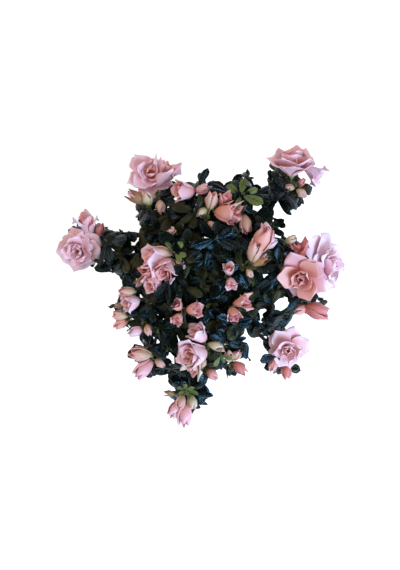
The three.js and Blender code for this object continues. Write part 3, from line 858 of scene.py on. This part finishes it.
fine = stream(77)  # for all that is finer than the masses' own shoots
for mass in masses:
    random = stream(mass["seed"])
    heart, arrival = mass["heart"], mass["arrival"]
    stem_foot = heart - arrival * (STEM_LENGTH + 0.7)
    stem = (stem_foot, (stem_foot + heart) / 2, heart + arrival)
    stems.append((stem, mass["stem_foot"]))
    twigs = [stem]

    own = [truss for truss in TRUSSES if in_space(mass, polar(truss[0], truss[1], CROWN["top"]), 0)]
    knobs = [polar(b, r, crown_height(r) - TRUSS_DEPTH) for b, r, _ in own]
    for tip, (_, _, open_flowers) in zip(knobs, own):
        curve = fork_for(twigs, tip, outwards(tip))
        add_shoot(curve, scattered(LEAVES_PER_WHORL, random, 78, 100), "truss")
        twigs.append(curve)
        for _ in range(open_flowers * PETAL_RING_DRAWS):
            random()

    skirt = []
    for i in range(SKIRT["shoots"]):
        share = (i + 0.3 + 0.4 * random()) / SKIRT["shoots"]
        fall = math.radians(within(SKIRT["fall"], random()))
        bearing = mass["bearing"] + (share - 0.5) * SKIRT["arc"]
        skirt.append(heart + polar(bearing, math.cos(fall), -math.sin(fall)) * SKIRT["length"])
    for tip in dome_tips + skirt:
        apart = all(np.linalg.norm(other - tip) > SHOOT_SPACING for other in knobs)
        if not (apart and in_space(mass, tip, TIP_INSET)):
            continue
        blades = scattered(LEAVES_PER_WHORL, random, 56, 84)
        if not is_free(tip):
            continue
        axis = outwards(tip)
        curve = fork_for(twigs, tip, axis)
        add_shoot(curve, blades, "leafy")
        twigs.append(curve)
        first_turn = fine() * 2 * math.pi
        for branch in range(SIDE_SHOOTS + (np.hypot(*tip[:2]) < INNER_REACH)):
            turn = first_turn + branch * math.radians(GOLDEN_ANGLE) + 0.6 * fine()
            out = within(SIDE_REACH, fine())
            side = leaning(axis, side_of(curve), math.pi / 2, turn)
            side_tip = tip + side * out - axis * within(SIDE_FALL, fine())
            foot = on_curve(curve, within(SIDE_FORK, fine()))
            side_axis = unit(axis + SIDE_SLANT * side)
            bend = side_tip - side_axis * FORK["straight"] * np.linalg.norm(side_tip - foot)
            blades = scattered(5 + int(2 * fine()), fine, 55, 88, 0.4)
            inside = side_tip[2] > CROWN["floor"] and np.hypot(*side_tip[:2]) < CROWN["reach"] - 10
            if inside and is_free(side_tip):
                add_shoot((foot, bend, side_tip), blades, "side")

    for x, y, size, kind in WHORLS:
        tip = np.array([x, y, crown_height(math.hypot(x, y)) + WHORL_RISE[kind]])
        if in_space(mass, tip, 0):
            ring = scattered(LEAVES_PER_WHORL, fine, 66, 84, 0.3)
            blades = [(turn, lean, share * size) for turn, lean, share in ring]
            add_shoot(fork_for(twigs, tip, outwards(tip)), blades, kind)
    for blossom in blossoms:
        foot = blossom["foot"]
        near = min((np.linalg.norm(knob - foot) for knob in knobs), default=2 * LONGEST_STALK)
        if near < LONGEST_STALK or not in_space(mass, foot, 0):
            continue
        under = foot - blossom["axis"] * 5 - [0, 0, 2.0]
        curve = fork_for(twigs, under, outwards(under))
        add_shoot(curve, scattered(LEAVES_PER_WHORL, fine, 78, 100), "truss")
        twigs.append(curve)
    all_twigs += twigs

# Late shoots come up wherever no other shoot's tip is near.
for bearing, reach in evenly_spread(LATE["spacing"], LATE["reach"]):
    tip = polar(bearing, reach, crown_height(reach) - within(LATE["depth"], fine()))
    apart = min(np.hypot(*(shoot["curve"][2] - tip)[:2]) for shoot in shoots)
    inside = any(in_space(mass, tip, -1) for mass in masses)
    if apart > LATE["bare"] and inside and is_free(tip):
        blades = scattered(LEAVES_PER_WHORL, fine, 60, 86, 0.3)
        add_shoot(fork_for(all_twigs, tip, outwards(tip)), blades, "side")


# ---------------------------------------------------------------- twigs
# Young wood: thin brown twigs, swollen a little where leaves have dropped, which turn green just under
# the newest leaves.
TWIG_RADII = (1.55, 0.95)  # at its foot and its tip
SIDE_TWIG_RADII = (1.0, 0.7)
STEM_TIP = 1.6
GREEN_LENGTH = 9
GREEN_SWELL = 1.12  # of the green end over the brown twig


def twig_radius(foot, tip, seed):
    def radius(share, angle):
        knot = math.exp(-(((share * 4.2 + seed) % 1 - 0.5) ** 2) * 90)
        return within((foot, tip), share) * (1 + 0.16 * knot + 0.04 * math.sin(3 * angle + seed))

    return radius


def tapering(foot, tip, power=1):
    """The radius of a plain round stem that grows or shrinks from its foot to its tip."""
    return lambda share, angle: within((foot, tip), share**power)


brown_twigs = [(stem, tapering(foot, STEM_TIP), 10, 8) for stem, foot in stems]
green_twigs = []
for number, shoot in enumerate(shoots):
    radii = SIDE_TWIG_RADII if shoot["kind"] == "side" else TWIG_RADII
    brown_twigs.append((shoot["curve"], twig_radius(*radii, 0.37 * number), 6, 8))
    end, way = shoot["curve"][2], way_of(shoot["curve"], 1)
    under = on_curve(shoot["curve"], max(0.4, 1 - GREEN_LENGTH / np.linalg.norm(end - shoot["curve"][0])))
    middle = (under + end) / 2 + 0.02 * (end - under)
    green_foot = radii[1] * GREEN_SWELL
    green_twigs.append(((under, middle, end + way * 0.8), tapering(green_foot, green_foot + 0.1), 6, 4))
brown_bark = speckled("brown_twigs", (0.115, 0.075, 0.045), (0.045, 0.028, 0.018), 500, 0.75)
green_bark = speckled("green_twigs", (0.105, 0.125, 0.040), (0.080, 0.060, 0.028), 500, 0.6)
for twig_piece in (
    tubes("brown_twigs", brown_twigs, brown_bark),
    tubes("green_twigs", green_twigs, green_bark),
):
    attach(twig_piece, "root")


# ---------------------------------------------------------------- leaves
# Thick glossy evergreen leaves in whorls at the shoots' tips: widest past their middle, with a sunken
# midrib, raised quilting between the veins and edges rolled down. Old ones are nearly black, those of
# this year olive or mid green, and the newest bright.
LEAF_OUTLINE = [
    (0, 0.07), (0.1, 0.13), (0.3, 0.56), (0.5, 0.9), (0.68, 1), (0.84, 0.84), (0.95, 0.5), (1, 0.14),
]
LEAF_LENGTH = 31
LEAF_THICKNESS = 0.4
LEAF_SHARES = {"truss": 0.95, "side": 0.9}  # of the full length, on such shoots
LIKE_THE_REST = 0.75  # the chance that a leaf has its whorl's tint
LOWER_LEAVES = 3
INNER_LEAVES = 3
LEAF_HANG = 6  # how far below the crown's floor leaves may reach
LEAF_MARGIN = 0.5
LEAF_CHECKS = ((0.35, 0), (0.6, -0.2), (0.6, 0.2), (0.85, 0), (1.0, 0))  # along and across a leaf
LEAF_TRIES = ((0, 1), (0.4, 1), (-0.4, 1), (0.1, 0.72))  # how far turned on, and its share of length
SIDE_VEINS, VEIN_SLANT = 7, 3.2


def model_blade(name, rows, columns, shape, thickness, rounds=0):
    """One blade from a flat grid: shape(along, across) gives a point, with across from -1 to 1."""
    grid = {"x_subdivisions": rows, "y_subdivisions": columns, "size": 2, "location": (0, 0, 0)}
    blade = fresh(bpy.ops.mesh.primitive_grid_add, **grid)
    blade.name = name
    for vertex in blade.data.vertices:
        vertex.co = shape((vertex.co.x + 1) / 2, vertex.co.y)
    reshape(blade, "SOLIDIFY", thickness=thickness, offset=0, material_offset=1)
    if rounds:
        reshape(blade, "SUBSURF", levels=rounds, render_levels=rounds)
    return taken_apart(blade)


def leaf_shape(width, droop, roll, twist, bow):
    """A leaf one unit long, whose rows are the stations of its outline."""

    def shape(along, across):
        share, spread_out = LEAF_OUTLINE[round(along * (len(LEAF_OUTLINE) - 1))]
        half = width / 2 * spread_out
        quilt = math.sin(math.pi * min(1, abs(across) * 1.15)) * 0.15 - roll * abs(across) ** 3
        turn = twist * share
        y = across * half + bow * share**2
        z = half * quilt - droop * share**2
        return (
            share - 0.5 * droop * share**2 - 0.035 * across**2 * (share > 0.9),
            y * math.cos(turn) - z * math.sin(turn),
            z * math.cos(turn) + y * math.sin(turn),
        )

    return shape


# Five leaves that differ in width, droop, roll, twist and bow.
leaf_models = [
    model_blade("leaf", 7, 4, leaf_shape(*sizes), LEAF_THICKNESS / LEAF_LENGTH)
    for sizes in [
        (0.40, 0.08, 0.22, 0.00, 0.00),
        (0.34, 0.15, 0.30, 0.15, 0.03),
        (0.44, 0.04, 0.15, -0.12, -0.02),
        (0.31, 0.20, 0.40, 0.25, 0.05),
        (0.38, 0.12, 0.25, -0.22, -0.04),
    ]
]


def own_tiles(tree):
    """How far along and across its blade a point lies, from 0 to 1, and both as one."""
    tiles = add_node(tree, "UVMap", uv_map="along").outputs["UV"]
    parts = add_node(tree, "SeparateXYZ", {"Vector": tiles})
    return parts.outputs["X"], parts.outputs["Y"], tiles


def worked_out(tree, operation, *values):
    return add_node(tree, "Math", dict(enumerate(values)), operation=operation).outputs["Value"]


def mixed(tree, share, first, second, blend="MIX"):
    values = {"Factor": share, "A": first, "B": second}
    return add_node(tree, "Mix", values, data_type="RGBA", blend_type=blend).outputs["Result"]


def leaf_material(name, light, dark, roughness, vein_relief):
    """Leaf skin: two greens in soft patches, the relief of midrib and side veins, and painted shade in
    them.
    """
    made = speckled(name, light, dark, 55, roughness)
    tree = made.node_tree
    shader = tree.nodes["Principled BSDF"]
    waxy = roughness < 0.35
    along, across, _ = own_tiles(tree)
    off_rib = worked_out(tree, "ABSOLUTE", worked_out(tree, "SUBTRACT", across, 0.5))
    slant = worked_out(tree, "MULTIPLY", off_rib, VEIN_SLANT)
    slanted = worked_out(tree, "SUBTRACT", worked_out(tree, "MULTIPLY", along, SIDE_VEINS), slant)
    wave = worked_out(tree, "SINE", worked_out(tree, "MULTIPLY", slanted, math.pi))
    ripple = worked_out(tree, "POWER", worked_out(tree, "ABSOLUTE", wave), 0.35)
    rib = worked_out(tree, "MINIMUM", worked_out(tree, "MULTIPLY", off_rib, 14), 1)
    raised = worked_out(tree, "MULTIPLY", ripple, rib)
    # Painted shade: the base colour is darkened in the sunken midrib and side veins and lifted on the
    # quilting between them.
    painted_vein_shade = worked_out(tree, "ADD", worked_out(tree, "MULTIPLY", raised, 0.85), 0.3)
    plain = shader.inputs["Base Color"].links[0].from_socket
    feed(tree, shader, {
        "Specular IOR Level": 0.46 if waxy else 0.34,
        "Specular Tint": (0.38, 0.70, 1.0, 1) if waxy else (1.0, 0.95, 0.82, 1),
        "Base Color": mixed(tree, 1, plain, painted_vein_shade, "MULTIPLY"),
    })
    add_relief(tree, shader, raised, 0.9, vein_relief)
    return made


leaf_kinds = {
    "leaves_old": ((0.004, 0.006, 0.002), (0.0015, 0.0025, 0.001), 0.24),
    "leaves_dark": ((0.009, 0.013, 0.003), (0.003, 0.005, 0.001), 0.27),
    "leaves_olive": ((0.032, 0.034, 0.010), (0.010, 0.013, 0.003), 0.4),
    "leaves_young": ((0.165, 0.215, 0.060), (0.085, 0.115, 0.028), 0.45),
}
leaf_places = {name: [] for name in leaf_kinds}
LEAVES_WITHIN = np.array(cad_box) / mm + [[-1], [1]]
draw = stream(404)


def tint_of(inner):
    pick = draw()
    if inner:
        return "leaves_olive" if pick < 0.93 else "leaves_young"
    return "leaves_old" if pick < 0.35 else "leaves_dark" if pick < 0.67 else "leaves_olive"


def leaf_fits(root, along, across):
    """Whether a leaf stays in the crown and covers neither an opening nor a blossom."""
    for share, beside in LEAF_CHECKS:
        spot = root + along * share + across * beside
        if spot[2] < CROWN["floor"] - LEAF_HANG or in_opening(spot, LEAF_MARGIN) or hides_blossom(spot):
            return False
        if (spot < LEAVES_WITHIN[0]).any() or (spot > LEAVES_WITHIN[1]).any():
            return False
    return True


def blade_axes(axis, side, lean, turn):
    """The directions along, across and up from a blade that leans from an axis."""
    along = leaning(axis, side, lean, turn)
    across = unit(np.cross(axis, along))
    return along, across, np.cross(along, across)


def put_blade(places, kind, foot, along, across, up):
    """Adds a blade by its foot and its axes, which hold its size, in millimetres."""
    places.append((kind, foot * mm, along * mm, across * mm, up * mm))


def put_leaf(root, axis, side, turn, lean, length, tint):
    """Adds one leaf, turned or shortened where it would cover an opening or a blossom."""
    for more, shorter in LEAF_TRIES:
        along, across, up = blade_axes(axis, side, lean, turn + more)
        if leaf_fits(root, along * length * shorter, across * length * shorter):
            length *= shorter
            break
    else:
        return
    roll = 0.7 * (draw() - 0.5)
    cosine, sine = math.cos(roll), math.sin(roll)
    across, up = across * cosine + up * sine, up * cosine - across * sine
    wide = length * (0.94 + 0.2 * draw())
    kind = int(draw() * len(leaf_models))
    put_blade(leaf_places[tint], kind, root, along * length, across * wide, up * length)


for shoot in shoots:
    curve = shoot["curve"]
    tip, axis, side = curve[2], way_of(curve, 1), side_of(curve)
    placed = "leaves_" + shoot["kind"] in leaf_kinds
    tint = "leaves_" + shoot["kind"] if placed else tint_of(False)
    full = LEAF_LENGTH * LEAF_SHARES.get(shoot["kind"], 1)
    for turn, lean, share in shoot["blades"]:
        root = tip - axis * (0.5 + 3.5 * draw())
        own = tint if placed or draw() < LIKE_THE_REST else tint_of(False)
        put_leaf(root, axis, side, turn, lean, full * share, own)
    first = draw() * 2 * math.pi
    for i in range(0 if placed else LOWER_LEAVES):
        root = on_curve(curve, 0.86 - 0.1 * i)
        turn, lean = first + i * math.radians(GOLDEN_ANGLE), 1.25 + 0.5 * draw()
        put_leaf(root, axis, side, turn, lean, LEAF_LENGTH * (0.72 + 0.25 * draw()), tint_of(False))
    if shoot["kind"] == "leafy":
        for i in range(INNER_LEAVES):
            inner = tint_of(draw() < 0.3)
            length = LEAF_LENGTH * (0.3 + 0.2 * draw())
            put_leaf(tip, axis, side, first + i * 2.2, 0.5 + 0.4 * draw(), length, inner)

under_leaf = speckled("leaf_undersides", (0.075, 0.105, 0.045), (0.05, 0.075, 0.032), 90, 0.6)
for name, (light, dark, roughness) in leaf_kinds.items():
    skin = leaf_material(name, light, dark, roughness, 0.4 * mm)
    leaves = spread(name, leaf_models, leaf_places[name], [skin, under_leaf])
    bpy.ops.object.shade_smooth_by_angle(angle=math.radians(60))
    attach(leaves, "root")
    if name == "leaves_dark":
        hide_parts(*("mass_" + mass for mass in MASSES))


# ---------------------------------------------------------------- blossom
# Double flowers of thin crinkled petals on green stalks: a spread outer ring, a cupped middle ring and a
# furled heart. Half-open ones are furled like a rose, and small buds are still shut and tanned.
PETAL_STATIONS = [0, 0.2, 0.45, 0.68, 0.85, 0.95, 1]
ROUND_PETAL = [0.28, 0.5, 0.84, 1.0, 0.97, 0.8, 0.5]
POINTED_PETAL = [0.28, 0.56, 0.92, 1.0, 0.76, 0.42, 0.1]
PETAL_THICKNESS = 0.35
FURLED_THICKNESS = 0.02
THROAT_RISE = 4  # of an open flower's throat above its foot
RING_RISE, RING_TURN = 0.8, 0.62  # from each ring of petals to the next
RING_RADIUS = 1.6
HEART = 12
OPEN_CALYX, OPEN_STALK = 9, 0.95
SEPALS = 5
BRACT_SIZE = (6, 11)


def petal_shape(length, width, cup, reflex, ruffle, phase, outline):
    """A spread petal, in millimetres, with its foot at the origin and its upper face up."""

    def shape(along, across):
        share = 1 - (1 - along) ** 1.25
        half = width / 2 * float(np.interp(share, PETAL_STATIONS, outline))
        edge = abs(across)
        wave = math.sin(phase + 7.5 * share + (2.1 if across > 0 else 0))
        tip_wave = math.sin(phase * 2 + 3.2 * across) * share**4
        corner = edge**2 * share**3
        x = length * (share - 0.13 * corner + 0.05 * (1 - edge) ** 2 * share**6)
        z = cup * width * edge**2 * (1 - 0.3 * share) - reflex * length * share**2.6
        z += ruffle * (share * edge**2 * wave + 0.7 * tip_wave) - reflex * width * 0.55 * corner
        z -= 0.04 * width * (1 - edge) * share
        return x, across * half * (1 - 0.35 * cup * edge), z

    return shape


# How wide a furled blossom is from its foot to its tip: the stations, and its shares of full width.
FURLED_SIDES = {
    "rose": ([0, 0.15, 0.4, 0.62, 0.82, 1], [0.32, 0.62, 0.88, 0.95, 0.93, 1.0]),
    "tight": ([0, 0.2, 0.45, 0.7, 0.9, 1], [0.34, 0.74, 1.0, 0.92, 0.66, 0.5]),
    "star": ([0, 0.2, 0.5, 0.75, 1], [0.26, 0.48, 0.78, 1.0, 1.25]),
    "bud": ([0, 0.25, 0.5, 0.8, 1], [0.38, 0.86, 1.0, 0.7, 0.28]),
    "brown": ([0, 0.3, 0.6, 1], [0.35, 0.78, 1.0, 0.6]),
}


def furled_shape(kind, share_of_radius, height, arc, flare, slip, phase, point):
    """A keeled petal wrapped round the axis +X of a bud one unit long, one edge under the next petal."""
    widest = SLENDER[kind]

    def shape(along, across):
        edge = abs(across)
        belly = float(np.interp(along, *FURLED_SIDES[kind])) * share_of_radius
        curl = flare * along**5 * (0.55 + 0.45 * edge**2)
        keel = 0.14 * (1 - edge) * along * share_of_radius
        reach = widest * (belly + slip * across * (0.35 + 0.65 * along) + curl + keel)
        narrow = 1 - point * 0.8 * max(0, along - 0.55) / 0.45
        angle = arc * across * narrow + 0.1 * math.sin(phase + 5 * along)
        top = 1 - (0.08 + 0.3 * point) * edge**1.5 * along**3 + 0.04 * math.sin(phase + 4 * across) * along
        creased = reach + 0.06 * widest * math.sin(phase + 6 * across) * along
        return height * along * top, creased * math.sin(angle), creased * math.cos(angle)

    return shape


# Per kind: petals outside and inside, how far round each reaches, how its edges flare, its point, and
# how far one edge stands off the next petal.
FURLED = {
    "rose": (4, 4, 1.02, 0.34, 0.42, 0.16),
    "tight": (4, 3, 1.05, 0.12, 0.42, 0.26),
    "star": (3, 2, 1.0, 0.30, 0.75, 0.12),
    "bud": (3, 2, 1.2, 0.04, 0.5, 0.2),
    "brown": (3, 1, 1.0, 0.2, 0.7, 0.1),
}
petal_models = []
furled_models = {}


def add_petal(*blade):
    """Models one petal and gives its number."""
    petal_models.append(model_blade(*blade))
    return len(petal_models) - 1


for kind, (_, _, arc, flare, point, slip) in FURLED.items():
    layers = []
    for share_of_radius, height, shown in ((1.0, 1.0, 1.0), (0.7, 0.95, 0.3), (0.4, 0.88, 0.1)):
        shapes = [
            furled_shape(kind, share_of_radius, height, arc, flare * shown, slip, turn, point * shown)
            for turn in (0.0, 1.3, 2.5)
        ]
        layers.append([add_petal(kind, 6, 6, shape, FURLED_THICKNESS) for shape in shapes])
    furled_models[kind] = layers


def ring_models(name, length, width, cup, reflex, ruffle, outlines):
    shapes = [
        petal_shape(length, width, cup, reflex, ruffle, 0.9 + 1.7 * i, outline)
        for i, outline in enumerate(outlines)
    ]
    return [add_petal(name, 7, 6, shape, PETAL_THICKNESS, 1) for shape in shapes]


mostly_pointed = [POINTED_PETAL, POINTED_PETAL, POINTED_PETAL, ROUND_PETAL]
mostly_round = [ROUND_PETAL, ROUND_PETAL, ROUND_PETAL, POINTED_PETAL]
one_pointed = [ROUND_PETAL, POINTED_PETAL, ROUND_PETAL]
one_round = [POINTED_PETAL, ROUND_PETAL, POINTED_PETAL]
pointed_petals = ring_models("pointed_petal", 27, 26, 0.10, 0.20, 1.8, mostly_pointed)
outer_petals = ring_models("outer_petal", 25, 26, 0.07, 0.16, 1.6, mostly_round)
middle_petals = ring_models("middle_petal", 20, 20, 0.24, 0.05, 1.5, one_pointed)
inner_petals = ring_models("inner_petal", 15, 13, 0.38, -0.04, 1.2, one_round)
crumpled_petals = ring_models("crumpled_petal", 21, 20, 0.12, 0.02, 3.4, [ROUND_PETAL] * 4)
sepal_model = model_blade("sepal", 7, 2, leaf_shape(0.42, -0.12, 0.1, 0.0, 0.0), 0.05)
bract_model = model_blade("bract", 7, 2, leaf_shape(0.5, -0.2, -0.3, 0.2, 0.0), 0.045)

petal_sets = {}
stalks = []
sepals = []
bracts = []


def ring_of(tint, models, foot, axis, side, count, lean, first, size):
    """Petals spread round an axis, their upper faces towards it."""
    for i in range(count):
        turn = first + (i + 0.25 * (draw() - 0.5)) * 2 * math.pi / count
        along, across, up = blade_axes(axis, side, lean + 0.3 * (draw() - 0.5), turn)
        own = size * (0.9 + 0.2 * draw())
        root = foot + leaning(axis, side, math.pi / 2, turn) * RING_RADIUS * size
        model = models[int(draw() * len(models))]
        put_blade(petal_sets.setdefault(tint, []), model, root, along * own, across * own, up * own)


def furl_of(tint, models, foot, axis, side, count, first, length):
    """Petals furled round an axis, scaled to a length."""
    places = petal_sets.setdefault(tint, [])
    for i in range(count):
        out = leaning(axis, side, math.pi / 2, first + i * 2 * math.pi / count)
        own = length * (0.92 + 0.13 * draw())
        model = models[i % len(models)]
        put_blade(places, model, foot, axis * own, np.cross(out, axis) * length, out * length)


# The tint of the petals inside those of each tint: mostly deeper, partly their own colour and partly
# painted shade inside the flower.
INNER_TINTS_SHADED = {
    "lilac": "pale", "pale": "pink", "pink": "salmon", "salmon": "rose", "rose": "rose", "tan": "salmon",
    "cream": "tan", "brown": "pale",
}

# An open flower's rings, outermost first: their petals, how many, how far they lean, their share of its
# size, and how deep a tint, the deeper ones partly painted shade. A side flower has opened least.
RINGS = {
    "open": [
        (pointed_petals, 5, 1.30, 1.04, 0), (pointed_petals, 3, 1.0, 1.0, 0),
        (middle_petals, 4, 0.72, 1.12, 0), (middle_petals, 3, 0.46, 0.9, 1),
        (inner_petals, 3, 0.22, 1.05, 2),
    ],
    "flat": [
        (outer_petals, 5, 1.42, 1.0, 0), (outer_petals, 5, 1.2, 0.88, 0),
        (crumpled_petals, 5, 0.95, 0.95, 0), (crumpled_petals, 4, 0.62, 0.8, 1),
        (inner_petals, 5, 0.34, 0.95, 1),
    ],
    "cup": [
        (pointed_petals, 5, 1.08, 1.05, 0), (pointed_petals, 3, 0.72, 0.95, 1),
        (middle_petals, 4, 0.46, 1.0, 1), (inner_petals, 3, 0.2, 1.15, 2),
    ],
    "side": [
        (outer_petals, 5, 0.72, 1.25, 0), (outer_petals, 4, 0.5, 1.28, 0),
        (crumpled_petals, 4, 0.34, 1.4, 1), (middle_petals, 3, 0.2, 1.35, 1),
    ],
}

for blossom in blossoms:
    foot, axis, kind, size = blossom["foot"], blossom["axis"], blossom["kind"], blossom["size"]
    side = unit(np.cross(axis, [0.3, 0.2, 1.0]))
    first = draw() * 2 * math.pi
    # Inner petals take the inner tints, partly their own colour and partly painted shade.
    tints = [blossom["tint"], INNER_TINTS_SHADED[blossom["tint"]]]
    tints.append(INNER_TINTS_SHADED[tints[1]])
    if kind in FURLED:
        outside, inside, *_ = FURLED[kind]
        outer_layer, inner_layer, core = furled_models[kind]
        furl_of(tints[0], outer_layer, foot, axis, side, outside, first, size)
        furl_of(tints[1], inner_layer, foot, axis, side, inside, first + 0.5, size)
        furl_of(tints[1 if kind in ("bud", "brown") else 2], core, foot, axis, side, 3, first + 1.1, size)
        calyx, stalk_radius = 0.3 * size, 0.6 + 0.012 * size
    else:
        throat = foot + axis * THROAT_RISE * size
        for ring, (models, count, lean, share, depth) in enumerate(RINGS[kind]):
            ring_foot, ring_first = throat + axis * RING_RISE * ring, first + RING_TURN * ring
            ring_of(tints[depth], models, ring_foot, axis, side, count, lean, ring_first, size * share)
        furl_of(tints[2], furled_models["tight"][0], throat, axis, side, 3, first, HEART * size)
        calyx, stalk_radius = OPEN_CALYX, OPEN_STALK
    for i in range(SEPALS):
        axes = blade_axes(axis, side, 0.55, i * 2 * math.pi / SEPALS + 0.4)
        put_blade(sepals, 0, foot - axis * 0.5, *(calyx * np.array(axes)))
    knob = min(
        (shoot["curve"][2] for shoot in shoots if shoot["kind"] == "truss"),
        key=lambda tip: np.linalg.norm(tip - foot + [0, 0, 3]),
    )
    bend = foot - axis * 0.5 * np.linalg.norm(foot - knob)
    stalk = tapering(0.85 * stalk_radius, 1.15 * stalk_radius, 3)
    stalks.append(((knob, bend, foot + axis * 0.6), stalk, 7, 8))

for shoot in shoots:
    curve = shoot["curve"]
    knob, axis, side = curve[2], way_of(curve, 1), side_of(curve)
    truss = shoot["kind"] == "truss"
    for i in range(6 if truss else 2):
        axes = blade_axes(axis, side, 0.25 + 0.7 * draw() * truss, i * 2.4 + draw())
        size = within(BRACT_SIZE, draw()) * (1 if truss else 0.6)
        put_blade(bracts, 0, knob, *(size * np.array(axes)))


def petal_material(name, tip, throat, streak):
    """Petal skin: the throat's tint, partly its own and partly painted shade, runs into the tip's, with a
    streak up the middle, a paler rim painted as a highlight, and fine veins.
    """
    made, tree, shader = new_material(name)
    along, across, tiles = own_tiles(tree)
    off_edge = worked_out(tree, "PINGPONG", across, 0.5)

    def ranged(value, start, end, top=1):
        values = {"Value": value, "From Min": start, "From Max": end, "To Max": top}
        return add_node(tree, "MapRange", values).outputs["Result"]

    streaky = worked_out(tree, "MULTIPLY", ranged(along, 0.85, 0.1, 0.8), ranged(off_edge, 0.22, 0.5))
    # The throat's deeper tint is partly the petal's own colour and partly painted shade in the flower's
    # cup.
    body = mixed(tree, streaky, tint_between(tree, along, throat, tip, 0.12, 0.9), (*streak, 1))
    # Painted highlight: each petal's edge is mixed towards a paler tint of its tip.
    rim = (*(0.4 + 0.6 * part for part in tip), 1)
    feed(tree, shader, {
        "Roughness": 0.5, "Subsurface Weight": 0.25, "Subsurface Radius": (1.0, 0.45, 0.4),
        "Subsurface Scale": 1.5 * mm,
        "Base Color": mixed(tree, ranged(off_edge, 0.07, 0.0, 0.4), body, rim),
    })
    stretched = add_node(tree, "Mapping", {"Vector": tiles, "Scale": (3, 60, 1)}).outputs["Vector"]
    add_relief(tree, shader, noise(tree, stretched, 1, 3), 0.35, 0.3 * mm)
    return made


# Each tint: tip, throat and streak; the throat is partly its own deeper colour and partly painted shade.
PETAL_TINTS = {
    "lilac": ((0.95, 0.74, 0.87), (0.93, 0.64, 0.75), (0.91, 0.64, 0.73)),
    "pale": ((0.92, 0.67, 0.77), (0.86, 0.44, 0.46), (0.86, 0.52, 0.54)),
    "pink": ((0.88, 0.54, 0.62), (0.84, 0.36, 0.38), (0.83, 0.44, 0.42)),
    "salmon": ((0.86, 0.46, 0.44), (0.74, 0.26, 0.20), (0.78, 0.36, 0.22)),
    "rose": ((0.74, 0.28, 0.28), (0.60, 0.15, 0.13), (0.62, 0.24, 0.16)),
    "tan": ((0.76, 0.42, 0.38), (0.60, 0.42, 0.26), (0.60, 0.34, 0.22)),
    "cream": ((0.80, 0.62, 0.52), (0.46, 0.46, 0.18), (0.60, 0.48, 0.26)),
    "brown": ((0.26, 0.09, 0.04), (0.50, 0.30, 0.12), (0.36, 0.15, 0.06)),
}
for tint, places in petal_sets.items():
    skin = petal_material("petals_" + tint, *PETAL_TINTS[tint])
    made = spread("petals_" + tint, petal_models, places, [skin, skin])
    bpy.ops.object.shade_smooth()
    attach(made, "root")

calyx_green = speckled("calyx", (0.30, 0.38, 0.10), (0.17, 0.25, 0.05), 300, 0.5)
stalk_piece = tubes("flower_stalks", stalks, calyx_green)
sepal_piece = spread("sepals", [sepal_model], sepals, [calyx_green, calyx_green])
bract_brown = speckled("bracts", (0.13, 0.15, 0.045), (0.10, 0.08, 0.035), 260, 0.7)
bract_piece = spread("bracts", [bract_model], bracts, [bract_brown, bract_brown])
for piece in (stalk_piece, sepal_piece, bract_piece):
    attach(piece, "root")
